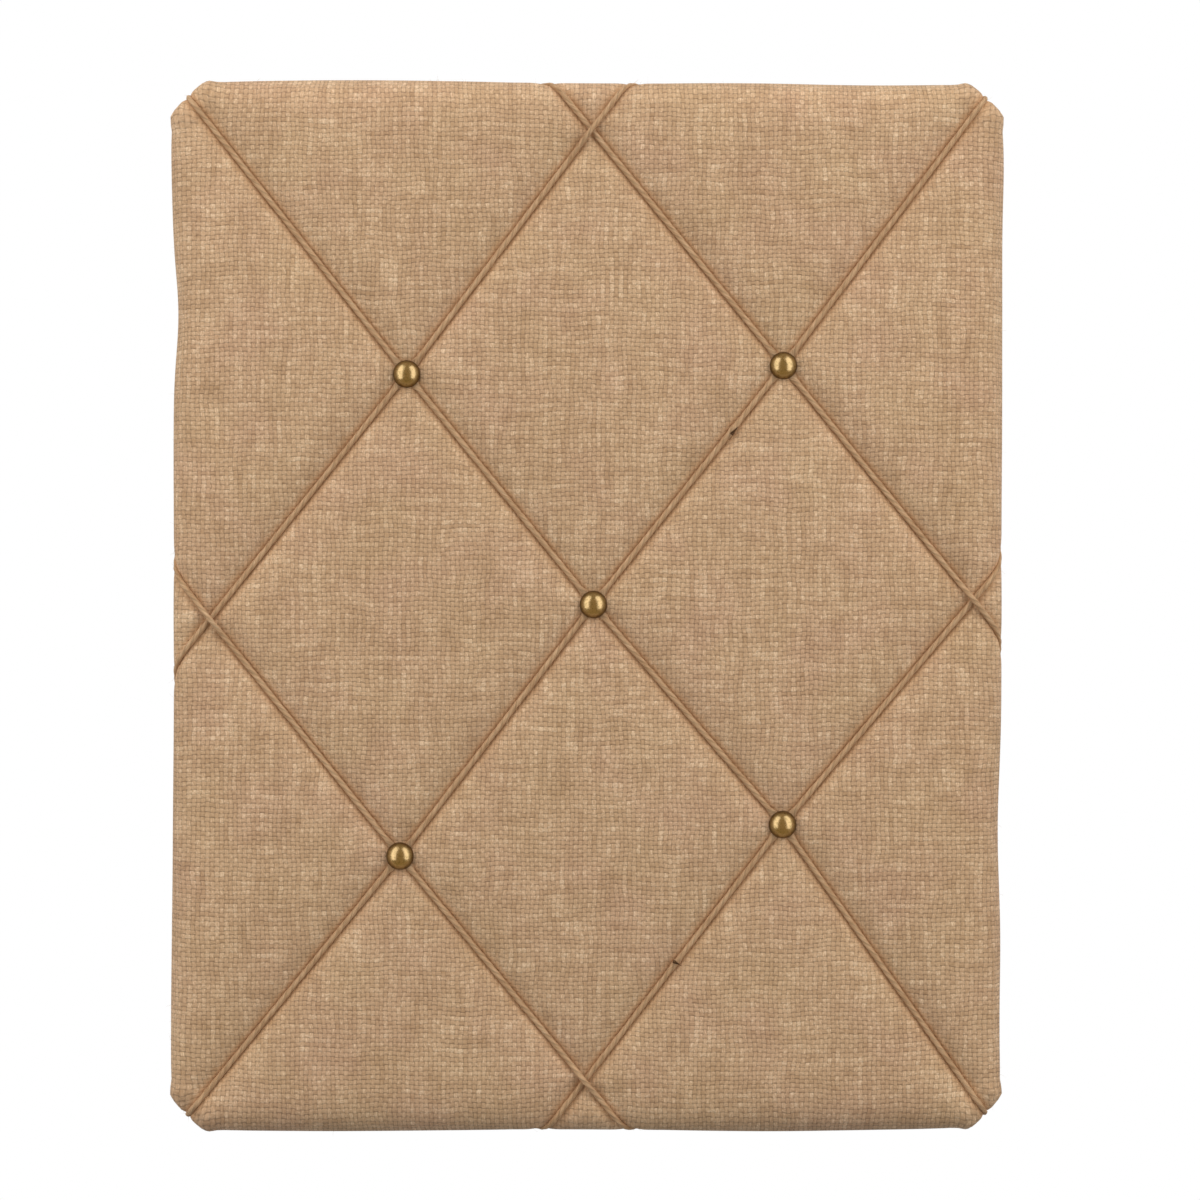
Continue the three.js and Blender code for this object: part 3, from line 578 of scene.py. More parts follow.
# %% Carry the rim round the edge
flat_place = {vert: Vector((vert.co.x, vert.co.z)) for vert in cloth.verts}
rim = [edge for edge in cloth.edges if edge.is_boundary]
rim_start = {}
for edge in rim:
    a, b = edge.verts
    run = Vector((b.co.x - a.co.x, b.co.z - a.co.z))
    sideways = Vector((run.y, -run.x)).normalized()
    middle = Vector((a.co.x + b.co.x, a.co.z + b.co.z))
    for vert in edge.verts:
        outwards = sideways if sideways.dot(middle) > 0 else -sideways
        rim_start.setdefault(vert, [Vector((vert.co.x, vert.co.z)), Vector((0, 0))])[1] += outwards
for start in rim_start.values():
    start[1].normalize()
rim_stops = [roll_radius * math.pi / 2 * share / 3 for share in (1, 2, 3)]
rim_stops += [rim_stops[2] + side_length * share / 3 for share in (1, 2, 3)]
rim_stops += [rim_stops[5] + fold_radius * math.pi / 2 * share / 2 for share in (1, 2)]


def grow_rim(bm, edges, notes):
    """Extrudes the rim and hands the old points' notes on. Gives the new points, rim and faces."""
    grown = bmesh.ops.extrude_edge_only(bm, edges=edges)["geom"]
    points = [item for item in grown if isinstance(item, bmesh.types.BMVert)]
    before = {p: next(e.other_vert(p) for e in p.link_edges if e.other_vert(p) in notes) for p in points}
    notes.update({point: notes[old] for point, old in before.items()})
    faces = [item for item in grown if isinstance(item, bmesh.types.BMFace)]
    return points, [e for e in grown if isinstance(e, bmesh.types.BMEdge) and e.is_boundary], faces


for gone in rim_stops:
    points, rim, _ = grow_rim(cloth, rim, rim_start)
    out, level, _ = wrapped(gone)
    for vert in points:
        plan, outwards = rim_start[vert]
        vert.co = Vector((plan.x + outwards.x * out, level, plan.y + outwards.y * out))
        flat_place[vert] = plan + outwards * gone
uv_layer = cloth.loops.layers.uv.new(uv_name)
for face in cloth.faces:
    for loop in face.loops:
        loop[uv_layer].uv = flat_place[loop.vert]
cloth.normal_update()
bmesh.ops.recalc_face_normals(cloth, faces=cloth.faces[:])
if sum(face.normal.y for face in cloth.faces) > 0:
    bmesh.ops.reverse_faces(cloth, faces=cloth.faces[:])
print("faces with the sides:", len(cloth.faces))

# %% [markdown]
# ## Letting the padding push
# Real wadding pushes the cloth outwards everywhere, except where a cord or a nail holds it. That is what a
# cloth simulation with pressure does: points under the cords and along the back fold are pinned, gravity is
# off, and the rest swells. Air would go on lifting the wide pads, but wadding is only so thick and gives up
# slowly, so each push is eased towards a greatest height, the one that the photograph's shading suggests.

# %% Swell the cloth between the cords
pad_crown = 4.0 * MM
sim_frames = 20


def mesh_object(name, bm):
    """A new object from a bmesh, which is freed."""
    mesh = bpy.data.meshes.new(name)
    bm.to_mesh(mesh)
    bm.free()
    made = bpy.data.objects.new(name, mesh)
    scene.collection.objects.link(made)
    return made


def closed_object(name, bm):
    """A new object from a closed bmesh, with its faces turned outwards."""
    bmesh.ops.recalc_face_normals(bm, faces=bm.faces[:])
    return mesh_object(name, bm)


cord_tree = KDTree(len(grooves))
for index, place in enumerate(grooves):
    cord_tree.insert(place, index)
cord_tree.balance()

cloth.verts.index_update()
pinned = {vert.index for vert in held_down}
for vert in cloth.verts:
    near_cord = cord_tree.find(vert.co)[2] < 0.5 * cloth_cell + cord_stand
    if vert.is_boundary or (vert in rim_start and near_cord):
        pinned.add(vert.index)
cover = mesh_object("hessian_cover", cloth)
rest_places = [vert.co.copy() for vert in cover.data.vertices]


def swell(piece, held):
    """Runs a cloth simulation with pressure and gives each point's new place."""
    group = piece.vertex_groups.new(name="held")
    group.add(sorted(held), 1.0, "REPLACE")
    modifier = piece.modifiers.new("swelling", "CLOTH")
    settings = modifier.settings
    settings.vertex_group_mass = "held"
    settings.quality = 6
    settings.mass = 0.2
    settings.tension_stiffness = 12
    settings.compression_stiffness = 12
    settings.shear_stiffness = 4
    settings.bending_stiffness = 0.3
    settings.use_pressure = True
    settings.uniform_pressure_force = 5
    settings.air_damping = 4
    settings.effector_weights.gravity = 0
    modifier.collision_settings.use_collision = False
    modifier.point_cache.frame_start = 1
    modifier.point_cache.frame_end = sim_frames
    for moment in range(1, sim_frames + 1):
        scene.frame_set(moment)
    evaluated = piece.evaluated_get(bpy.context.evaluated_depsgraph_get())
    moved = [vert.co.copy() for vert in evaluated.data.vertices]
    piece.modifiers.remove(modifier)
    piece.vertex_groups.remove(group)
    scene.frame_set(1)
    return moved


swollen = swell(cover, pinned)
pushes = [place - rest for place, rest in zip(swollen, rest_places)]
for vert, rest, push in zip(cover.data.vertices, rest_places, pushes):
    if push.length > 0:
        vert.co = rest + push.normalized() * pad_crown * (1 - math.exp(-push.length / pad_crown))
    else:
        vert.co = rest
print("furthest push", round(max(push.length for push in pushes) / MM, 2), "mm, eased to", pad_crown / MM)

# %% [markdown]
# ## Finer cloth, pressed in by the cords
# Faces near a cord are divided once more, because the cloth bends tightly there. One level of subdivision
# then halves the whole grid, and is applied. After that every point is moved out along its normal by an
# amount that grows with its distance from the nearest cord, so each cord lies half sunk between two steep
# soft banks. Round a nail the cloth stays below the rim. On the sides the same banks, narrower there, make
# the outline bulge between the cords, and towards the back fold they fade to nothing. A point attribute,
# 1 right under a cord and 0 away from it, goes with the cloth; its material reads it to paint a lighter,
# warmer colour into the crease beside each cord, as painted light that lifts the shade there.

# %% Divide the faces near the cords
fine_reach = 8 * MM


def replace_mesh(piece, bm):
    """Puts a bmesh in the place of a piece's mesh, and frees it."""
    bm.to_mesh(piece.data)
    bm.free()


def apply_modifiers(piece):
    """Makes what the modifiers show the piece's own mesh."""
    evaluated = piece.evaluated_get(bpy.context.evaluated_depsgraph_get())
    mesh = bpy.data.meshes.new_from_object(evaluated)
    piece.modifiers.clear()
    old = piece.data
    piece.data = mesh
    mesh.name = piece.name
    bpy.data.meshes.remove(old)


bm = bmesh.new()
bm.from_mesh(cover.data)
near = {f for f in bm.faces if len(f.verts) < 5 and cord_tree.find(f.calc_center_median())[2] < fine_reach}
near = {f for f in near if f.calc_center_median().y < cloth_back - 4 * MM}
near_edges = [edge for edge in bm.edges if any(face in near for face in edge.link_faces)]
bmesh.ops.subdivide_edges(bm, edges=near_edges, cuts=1, use_grid_fill=True)
replace_mesh(cover, bm)
smoother = cover.modifiers.new("smoother", "SUBSURF")
smoother.levels = 1
smoother.render_levels = 1
apply_modifiers(cover)
print("faces in the finer cloth:", len(cover.data.polygons))

# %% Raise the banks
bank_height = 2.6 * MM
bank_width = 3.2 * MM
shoulder_height = 1.3 * MM
shoulder_width = 7 * MM
crease_paint_width = 2.0 * MM
under_cord = 0.4 * MM
side_extra = 0.9 * MM
nail_level = 1.3 * MM
nail_slope = 10 * MM
slack_size = 60 * MM
slack_height = 0.26 * MM


def rise_at(place, normal):
    """How far the cloth stands above the bottom of the groove at a place."""
    distance = max(cord_tree.find(place)[2] - cord_stand, 0)
    sideways = Vector((normal.x, normal.z)).length
    width = bank_width * (1 - 0.65 * sideways) * (1 - 0.5 * cornerness(place, normal))
    rise = bank_height * (1 - math.exp(-distance / width))
    rise += slack_height * noise.noise(place / slack_size) * min(distance / (20 * MM), 1)
    if place.y < face_level + roll_radius / 2:
        rise += shoulder_height * (1 - math.exp(-distance / shoulder_width))
        plan = Vector((place.x, place.z))
        off_nail = min((plan - nail).length for nail in nails.values()) - nail_radius
        room = 1 - math.exp(-max(off_nail, 0) / nail_slope)
        rise = min(rise, nail_level + (bank_height + shoulder_height + slack_height) * room)
    else:
        rise += side_extra * (1 - math.exp(-distance / width))
    rise *= 1 - 0.25 * cornerness(place, normal)
    rise = (under_cord + rise) * eased(place.y, cloth_back, cloth_back - back_fade)
    return rise + filled_out(place, normal)


moves = [vert.normal * rise_at(vert.co, vert.normal) for vert in cover.data.vertices]
# A mask for painted light: near 1 in the crease along each cord and 0 away from it. The cloth's material
# paints a lighter, warmer colour there, which lifts the crease's shade.
crease_paint = cover.data.attributes.new("crease_paint", "FLOAT", "POINT")
for vert, move in zip(cover.data.vertices, moves):
    distance = max(cord_tree.find(vert.co)[2] - cord_stand, 0)
    crease_paint.data[vert.index].value = math.exp(-distance / crease_paint_width)
    vert.co += move
padding = bmesh.new()
padding.from_mesh(cover.data)
print("highest bank:", round(max(move.length for move in moves) / MM, 2))

# %% [markdown]
# ## The turned-in edge at the back
# Behind, the cloth is folded in over the board and its corners are mitred like a parcel: first the corner
# is folded in, and then the two sides over it. The rim is extruded on towards the opening, and the edges
# between a corner flap and a side flap are split, so that the side's folded edge lies on top.

# %% Turn the cloth in
turn_in_rows = 7
flap_step = 0.9 * MM
flap_overlap = 1.6 * MM
flap_ease = 16 * MM
back = bmesh.new()
back.from_mesh(cover.data)
uv_layer = back.loops.layers.uv[uv_name]
crease_paint_layer = back.verts.layers.float["crease_paint"]
fold_half_width = cover_half_width - fold_radius
fold_half_height = cover_half_height - fold_radius
fold_cut = corner_cut - fold_radius * cut_shrink


def window_place(plan):
    """The flap that a place on the back fold belongs to, and the place that it goes to at the opening."""
    side_x, side_z = math.copysign(1, plan.x), math.copysign(1, plan.y)
    x, z = abs(plan.x), abs(plan.y)
    end_x, end_z = fold_half_width - fold_cut, fold_half_height - fold_cut
    past_corner = x + z > fold_half_width + fold_half_height - fold_cut - 0.6 * MM
    straight_x = min(x / end_x, 1)
    straight_z = min(z / end_z, 1)
    if past_corner and x > end_x + 0.9 * MM and z > end_z + 0.9 * MM:
        share = (z - end_z) / fold_cut
        target = (turn_in_half_width - share * turn_in_cut, turn_in_half_height - (1 - share) * turn_in_cut)
        return "corner", Vector((side_x * target[0], side_z * target[1]))
    if fold_half_height - z < fold_half_width - x:
        return "end", Vector((side_x * straight_x * (turn_in_half_width - turn_in_cut),
                              side_z * turn_in_half_height))
    return "side", Vector((side_x * turn_in_half_width,
                           side_z * straight_z * (turn_in_half_height - turn_in_cut)))


rim = [edge for edge in back.edges if edge.is_boundary]
course = {}
for vert in {vert for edge in rim for vert in edge.verts}:
    plan = Vector((vert.co.x, vert.co.z))
    kind, target = window_place(plan)
    course[vert] = (plan, target, kind)
turned_faces = []
for row in range(1, turn_in_rows + 1):
    points, rim, faces = grow_rim(back, rim, course)
    turned_faces += faces
    for vert in points:
        plan, target, kind = course[vert]
        there = plan.lerp(target, row / turn_in_rows)
        vert.co = Vector((there.x, cloth_back, there.y))
        vert[crease_paint_layer] = 0.0


def flap_of(face):
    """The flap that most of a turned-in face's points belong to."""
    kinds = [course[vert][2] for vert in face.verts]
    return max(sorted(set(kinds)), key=kinds.count)


flaps = {face: flap_of(face) for face in turned_faces}
for face in turned_faces:
    for loop in face.loops:
        x, z = loop.vert.co.x, loop.vert.co.z
        loop[uv_layer].uv = {
            "end": (x, 2 * math.copysign(fold_half_height, z) - z),
            "side": (2 * math.copysign(fold_half_width, x) - x, z),
            "corner": (z, x),
        }[flaps[face]]
seams = []
for edge in back.edges:
    sides = {flaps[face] for face in edge.link_faces if face in flaps}
    if "corner" in sides and len(sides) == 2:
        seams.append(edge)
seam_places = [(edge.verts[0].co.copy(), edge.verts[1].co.copy()) for edge in seams]
bmesh.ops.split_edges(back, edges=seams)
seam_tree = KDTree(2 * len(seam_places))
for index, (a, b) in enumerate(seam_places):
    seam_tree.insert(a, 2 * index)
    seam_tree.insert(b, 2 * index + 1)
seam_tree.balance()
raised = {vert for face, kind in flaps.items() if kind != "corner" for vert in face.verts}
for vert in raised:
    spot, _, distance = seam_tree.find(vert.co)
    if distance < flap_ease and vert.co.y > cloth_back - 0.01 * MM:
        share = 1 - distance / flap_ease
        on_end = fold_half_height - abs(vert.co.z) < fold_half_width - abs(vert.co.x)
        along_x = Vector((math.copysign(1, vert.co.x), 0, 0))
        along_z = Vector((0, 0, math.copysign(1, vert.co.z)))
        slide = along_x if on_end else along_z
        vert.co.y += flap_step * share ** 2
        if distance < 0.2 * MM:
            vert.co += slide * flap_overlap
bmesh.ops.recalc_face_normals(back, faces=back.faces[:])
if sum(face.normal.y for face in back.faces if face.calc_center_median().y < face_level + MM) > 0:
    bmesh.ops.reverse_faces(back, faces=back.faces[:])
for face in back.faces:
    face.smooth = True
replace_mesh(cover, back)
print("seam edges at the mitres:", len(seam_places), "and faces in the cover:", len(cover.data.polygons))

# %% Give the cloth its thickness, work out its flat cut and attach it to the board
wall = cover.modifiers.new("thickness", "SOLIDIFY")
wall.thickness = cloth_thickness
wall.offset = -1
flat_width = 2 * (flat_half_width + fold_end + fold_half_width - turn_in_half_width)
flat_length = 2 * (flat_half_height + fold_end + fold_half_height - turn_in_half_height)
trimmed = (flat_width + flat_length) / 2 / math.sqrt(2)
trimmed -= (corner_reach - roll_radius + fold_end + fold_half_width - turn_in_half_width)
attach(cover, "board")
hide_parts("jute_cover")

# %% [markdown]
# ## The wadding
# The wadding shows nowhere, but the board is made in layers, and a model that is taken apart should show
# them. It is the same swollen surface moved inwards by the cloth's thickness, cut off where the fibreboard
# begins and closed with a flat back.

# %% Wadding
_, wadding_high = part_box("wadding")
inward = cloth_thickness + 0.3 * MM
padding.normal_update()
moves = [vert.normal * inward for vert in padding.verts]
for vert, move in zip(padding.verts, moves):
    vert.co -= move
everything = padding.verts[:] + padding.edges[:] + padding.faces[:]
bmesh.ops.bisect_plane(padding, geom=everything, plane_co=(0, wadding_high.y, 0), plane_no=(0, 1, 0),
                       clear_outer=True, dist=1e-7)
bmesh.ops.holes_fill(padding, edges=[edge for edge in padding.edges if edge.is_boundary], sides=0)
for face in padding.faces:
    face.smooth = True
wadding = closed_object("wadding_pad", padding)
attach(wadding, "board")
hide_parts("wadding")
print("wadding faces:", len(wadding.data.polygons))

# %% [markdown]
# ## Tubes from a rolled grid
# Cords, wires and fibres are all tubes. A flat grid with UVs is made by an operator, and each of its points
# is then placed by two shares: how far round and how far along. Its two long sides are merged, and because
# UVs belong to face corners and not to points, the map keeps no seam there.

# %% Tube helper
def roll_tube(bm, sides, steps, place_of):
    """Rolls a grid into a tube. place_of gives a point for a share round and a share along."""
    bm.loops.layers.uv.verify()
    made = bmesh.ops.create_grid(bm, x_segments=sides, y_segments=steps, size=0.5, calc_uvs=True)["verts"]
    for vert in made:
        vert.co = place_of(vert.co.x + 0.5, vert.co.y + 0.5)
    bmesh.ops.remove_doubles(bm, verts=made, dist=1e-7)
    rims = [edge for edge in bm.edges if edge.is_boundary]
    bmesh.ops.holes_fill(bm, edges=rims, sides=0)


def tube_frame(stations, share):
    """Place, outward direction, sideways direction and pressing at a share of the stations."""
    index = round(share * (len(stations) - 1))
    place, outward, pressed = stations[index]
    before = stations[max(index - 1, 0)][0]
    after = stations[min(index + 1, len(stations) - 1)][0]
    sideways = (after - before).cross(outward).normalized()
    return index, place, outward, sideways, pressed


print("helper ready")

# %% [markdown]
# ## The cords
# The cord is soft jute yarn, three plies laid together with a long twist. Its section is a circle with
# three shallow lobes that turns once every 17 mm. A little noise makes it thick and thin. Under a nail it
# spreads flat, and in two places the spinner joined a yarn, which left a dark thick spot.

# %% Cords
cord_sides = 18
plies = 3
twist_length = 17 * MM
lobe_share = 0.08
uneven_share = 0.12
yarn_radius = 0.85 * cord_radius
joins = {
    "cord_long_rising": Vector((70.6 * MM, 85.6 * MM)),
    "cord_bottom_to_right": Vector((42.0 * MM, -172.8 * MM)),
}
join_reach = 3.2 * MM
join_swell = 0.32
cords = []
for seed, (name, stations) in enumerate(cord_stations.items()):
    along = [0.0]
    for a, b in zip(stations, stations[1:]):
        along.append(along[-1] + (b[0] - a[0]).length)

    def on_cord(round_share, along_share):
        index, place, outward, sideways, pressed = tube_frame(stations, along_share)
        angle = 2 * math.pi * round_share
        twist = 2 * math.pi * along[index] / twist_length
        lobes = 1 + lobe_share * math.cos(plies * (angle - twist))
        uneven = 1 + uneven_share * noise.noise(Vector((along[index] / (9 * MM), seed * 7.3, 0)))
        swollen_by = 0.0
        if name in joins:
            off = (Vector((place.x, place.z)) - joins[name]).length
            swollen_by = join_swell * math.exp(-((off / join_reach) ** 2))
        radius = yarn_radius * lobes * uneven * (1 + swollen_by)
        wide = math.cos(angle) * radius * (1 + (pressed_width - 1) * pressed)
        tall = math.sin(angle) * radius * (1 - (1 - pressed_height) * pressed)
        return place + sideways * wide + outward * tall

    bm = bmesh.new()
    roll_tube(bm, cord_sides, len(stations) - 1, on_cord)
    uv_layer = bm.loops.layers.uv.verify()
    for face in bm.faces:
        face.smooth = len(face.verts) == 4
        for loop in face.loops:
            loop[uv_layer].uv.y *= along[-1]
    cord = closed_object(f"{name}_yarn", bm)
    cord.data.uv_layers[0].name = "yarn"
    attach(cord, "board")
    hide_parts(name)
    cords.append(cord)
print("cord faces:", sum(len(cord.data.polygons) for cord in cords))

# %% [markdown]
# ## The nails
# An upholstery nail is pressed from one round of sheet metal: a thin hollow dome on a square-cut pin. Half
# its section is drawn by spinning single points through arcs, and the section is then spun round the axis.

# %% Nails
dome_height = 5 * MM
dome_wall = 0.7 * MM
shank_radius = 1 * MM
point_length = 4 * MM
dome_radius = (nail_radius ** 2 + dome_height ** 2) / (2 * dome_height)
dome_depth = dome_radius - dome_height
inner_radius = dome_radius - dome_wall
rim_angle = math.asin(nail_radius / dome_radius)
inner_rim_angle = math.acos(dome_depth / inner_radius)
inner_shank_angle = math.asin(shank_radius / inner_radius)
nail_steps = 56
dome_steps = 14
hollow_steps = 8
nail_seat = nail_low.y + dome_height
nail_end = nail_high.y


def arc(bm, start, centre, angle, steps):
    """Spins a point through an arc in the plane of X and Y and gives the points in order."""
    vert = bm.verts.new(start)
    spun = bmesh.ops.spin(bm, geom=[vert], cent=centre, axis=(0, 0, 1), angle=angle, steps=steps)
    return vert, spun["geom_last"][0]


def turn_profile(bm, place, steps):
    """Spins a half section round the axis along Y, closes it and moves it to a place on the face."""
    bmesh.ops.spin(bm, geom=bm.verts[:] + bm.edges[:], cent=(0, 0, 0), axis=(0, 1, 0),
                   angle=2 * math.pi, steps=steps, use_merge=True)
    bmesh.ops.remove_doubles(bm, verts=bm.verts[:], dist=1e-6)
    bmesh.ops.translate(bm, verts=bm.verts[:], vec=(place.x, 0, place.y))


def build_nail(place):
    """A domed nail whose crown looks along -Y."""
    bm = bmesh.new()
    centre = Vector((0, nail_seat + dome_depth, 0))
    _, rim_out = arc(bm, centre - Vector((0, dome_radius, 0)), centre, rim_angle, dome_steps)
    start = centre + Vector((math.sin(inner_rim_angle), -math.cos(inner_rim_angle), 0)) * inner_radius
    rim_in, root = arc(bm, start, centre, inner_shank_angle - inner_rim_angle, hollow_steps)
    bm.edges.new((rim_out, rim_in))
    shoulder = bm.verts.new((shank_radius, nail_end - point_length, 0))
    tip = bm.verts.new((0, nail_end, 0))
    bm.edges.new((root, shoulder))
    bm.edges.new((shoulder, tip))
    turn_profile(bm, place, nail_steps)
    for face in bm.faces:
        face.smooth = True
    return bm


brass_nails = []
for name in nail_names:
    nail = closed_object(f"domed_nail_{name}", build_nail(nails[name]))
    nail.data.set_sharp_from_angle(angle=math.radians(40))
    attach(nail, "board")
    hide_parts(f"nail_{name}")
    brass_nails.append(nail)
print("faces in one nail:", len(brass_nails[0].data.polygons))

# %% [markdown]
# ## Staples
# A staple is a flat wire bent twice. Its road is a line with two rounded corners, and the rolled tube is
# given a flat section. One staple holds each cord end down on the back. Smaller ones hold the backing.

# %% Staples
def staple_road(crown, leg, height, bend, steps=4):
    """Points of a staple from one leg's foot to the other's, in the plane of X and Y, feet towards -Y."""
    half = crown / 2
    road = [Vector((-half, height - leg, 0)), Vector((-half, height - bend, 0))]
    for side in (-1, 1):
        for step in range(steps + 1):
            angle = math.pi / 2 * step / steps
            across = math.cos(angle) if side < 0 else math.sin(angle)
            up = math.sin(angle) if side < 0 else math.cos(angle)
            road.append(Vector((side * (half - bend) + side * bend * across, height - bend + bend * up, 0)))
    road += [Vector((half, height - leg, 0))]
    return road


def add_staple(bm, crown, leg, height, wire, turn, place):
    """A staple over a place on the back. turn is the angle of its crown from X, towards Z."""
    road = staple_road(crown, leg, height, 2.2 * wire[1])
    clean = [road[0]]
    for point in road[1:]:
        if (point - clean[-1]).length > 0.02 * MM:
            clean.append(point)
    to_place = Matrix.Translation(place) @ Matrix.Rotation(-turn, 4, "Y")

    def on_wire(round_share, along_share):
        index = round(along_share * (len(clean) - 1))
        before = clean[max(index - 1, 0)]
        after = clean[min(index + 1, len(clean) - 1)]
        tangent = (after - before).normalized()
        across = Vector((-tangent.y, tangent.x, 0))
        angle = 2 * math.pi * (round_share + 1 / 16)
        flat_wise = max(-1, min(1, 1.3 * math.cos(angle))) * wire[1] / 2
        wide_wise = max(-1, min(1, 1.3 * math.sin(angle))) * wire[0] / 2
        return to_place @ (clean[index] + across * flat_wise + Vector((0, 0, wide_wise)))

    roll_tube(bm, 8, len(clean) - 1, on_wire)


staples = []
for name, ends in staple_places.items():
    for index, (place, run) in enumerate(ends):
        bm = bmesh.new()
        turn = math.atan2(-run.x, run.z)
        spot = Vector((place.x, cloth_back, place.z))
        add_staple(bm, crown=10.6 * MM, leg=8 * MM, height=3.9 * MM, wire=(1.2 * MM, 0.7 * MM),
                   turn=turn, place=spot)
        node = f"{name}_staple_{index + 1}"
        staple = closed_object(f"{node}_wire", bm)
        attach(staple, "board")
        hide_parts(node)
        staples.append(staple)
print("staples over cord ends:", len(staples))

# %% [markdown]
# ## The backing sheet
# A sheet of brown board hides the raw edges of the cloth. It is cut from the same outline, given its
# thickness, and fastened with small staples along its edge, a little crooked as a hand gun leaves them.

# %% Backing sheet and its staples
random.seed(5)
backing_low, backing_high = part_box("backing_sheet")
backing_cut = 14 * MM
bm = bmesh.new()
flat_outline(bm, backing_low.y, backing_high.x, backing_high.z, backing_cut, 2 * MM)
cut_grid(bm, 24 * MM, backing_high.x, backing_high.z)
walls = bmesh.ops.extrude_face_region(bm, geom=bm.faces[:])["geom"]
top = [item for item in walls if isinstance(item, bmesh.types.BMVert)]
bmesh.ops.translate(bm, verts=top, vec=(0, backing_high.y - backing_low.y, 0))
bow = 0.25 * MM
for vert in bm.verts:
    vert.co.y += bow * noise.noise(vert.co * 14) * (1 - (vert.co.x / backing_high.x) ** 6)
backing = closed_object("kraft_backing", bm)
edge_round = backing.modifiers.new("edge", "BEVEL")
edge_round.width = 0.2 * MM
edge_round.segments = 2
edge_round.limit_method = "ANGLE"
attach(backing, "board")
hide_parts("backing_sheet")

staple_inset = 7 * MM
bm = bmesh.new()
for side, count in (((0, 1), 4), ((0, -1), 4), ((1, 0), 5), ((-1, 0), 5)):
    across = Vector((side[0], 0, side[1]))
    along_edge = Vector((side[1], 0, side[0]))
    reach = (backing_high.x if side[0] else backing_high.z) - staple_inset
    half = (backing_high.z if side[0] else backing_high.x) - 34 * MM
    for step in range(count):
        shift = -half + 2 * half * step / (count - 1) + random.uniform(-3, 3) * MM
        spot = across * (reach + random.uniform(-1, 1) * MM) + along_edge * shift
        spot.y = backing_high.y
        turn = (0 if side[1] else math.pi / 2) + random.uniform(-0.09, 0.09)
        add_staple(bm, crown=10 * MM, leg=5 * MM, height=0.55 * MM, wire=(0.9 * MM, 0.5 * MM),
                   turn=turn, place=spot)
backing_staples = closed_object("backing_staples", bm)
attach(backing_staples, "board")
print("faces in the backing staples:", len(backing_staples.data.polygons))

# %% [markdown]
# ## Hangers
# Each hanger is a strip folded round the bar of a D ring and screwed down. The strip's shape is already
# exact in the frame, holes included, so a merged copy of it is taken, its flat faces are joined up, and its
# sheared edges are bevelled, because a real stamped edge always catches a thin line of light.

# %% Straps
def merged_copy(node):
    """A bmesh of a frame node with its loose triangles merged and its flat faces joined."""
    bm = bmesh.new()
    bm.from_mesh(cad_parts[node].data)
    bmesh.ops.remove_doubles(bm, verts=bm.verts[:], dist=1e-6)
    bmesh.ops.dissolve_limit(bm, angle_limit=math.radians(1), verts=bm.verts[:], edges=bm.edges[:])
    return bm


hardware = []
for side in ("left", "right"):
    bm = merged_copy(f"{side}_hanger_strap")
    sharp = [e for e in bm.edges if e.is_manifold and e.calc_face_angle(0) > math.radians(50)]
    bmesh.ops.bevel(bm, geom=sharp, offset=0.12 * MM, segments=2, profile=0.5, affect="EDGES", material=-1)
    for face in bm.faces:
        face.smooth = True
    strap = mesh_object(f"{side}_strap_hanger", bm)
    strap.data.set_sharp_from_angle(angle=math.radians(35))
    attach(strap, "board")
    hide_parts(f"{side}_hanger_strap")
    hardware.append(strap)
print("faces in a strap:", len(hardware[0].data.polygons))

# %% [markdown]
# ## D rings
# The ring is bent from round wire: a straight bar, two tight bends and a half circle. Its two ends meet in
# the middle of the bar, with a fine gap. It hangs from the eye of its strap and leans out by a few degrees
# at rest. Each ring rides on its own body of the frame.

# %% D rings
wire_radius = 1.1 * MM
ring_half = 8 * MM
ring_leg = 5 * MM
ring_bend = 2.6 * MM
ring_lean = math.radians(6)
bar_gap = 0.15 * MM
bar_station = 2.5 * MM
strap_low, strap_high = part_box("right_hanger_strap")
eye_outer = 2.25 * MM
eye_y = strap_low.y + eye_outer
eye_z = strap_high.z - eye_outer
eye_x = (strap_low.x + strap_high.x) / 2


def ring_road():
    """Points down the middle of the ring's wire, from the middle of the bar round to it again."""
    road = [Vector((bar_gap, 0, 0)), Vector((bar_station, 0, 0))]
    arcs = (
        (ring_half - ring_bend, -ring_bend, ring_bend, 90, 0, 8),
        (0, -ring_leg, ring_half, 0, -180, 30),
        (ring_bend - ring_half, -ring_bend, ring_bend, 180, 90, 8),
    )
    for x, z, radius, start, end, steps in arcs:
        for step in range(steps + 1):
            angle = math.radians(start + (end - start) * step / steps)
            road.append(Vector((x + radius * math.cos(angle), 0, z + radius * math.sin(angle))))
    return road + [Vector((-bar_station, 0, 0)), Vector((-bar_gap, 0, 0))]


for side, x in (("left", -eye_x), ("right", eye_x)):
    road = ring_road()
    stations = [(place, Vector((0, 1, 0)), 0.0) for place in road]

    def on_ring(round_share, along_share):
        _, place, outward, sideways, _ = tube_frame(stations, along_share)
        angle = 2 * math.pi * round_share
        return place + (sideways * math.cos(angle) + outward * math.sin(angle)) * wire_radius

    bm = bmesh.new()
    roll_tube(bm, 14, len(road) - 1, on_ring)
    for face in bm.faces:
        face.smooth = len(face.verts) == 4
    bm.transform(Matrix.Translation((x, eye_y, eye_z)) @ Matrix.Rotation(ring_lean, 4, "X"))
    ring = closed_object(f"{side}_dee_ring", bm)
    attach(ring, f"{side}_ring")
    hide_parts(f"{side}_d_ring")
    hardware.append(ring)
print("rings hang at height", round(eye_z / MM, 1))

# %% [markdown]
# ## Screws
# A countersunk screw is a turned part, so its half section is spun. The cross in its head is cut out with
# two thin boxes by a Boolean modifier, which is applied, so that the mesh itself has the recess.

# %% Screws
screw_head_radius = 3 * MM
screw_head_depth = 1.5 * MM
screw_radius = 1.5 * MM
screw_point = 3 * MM
screw_steps = 32


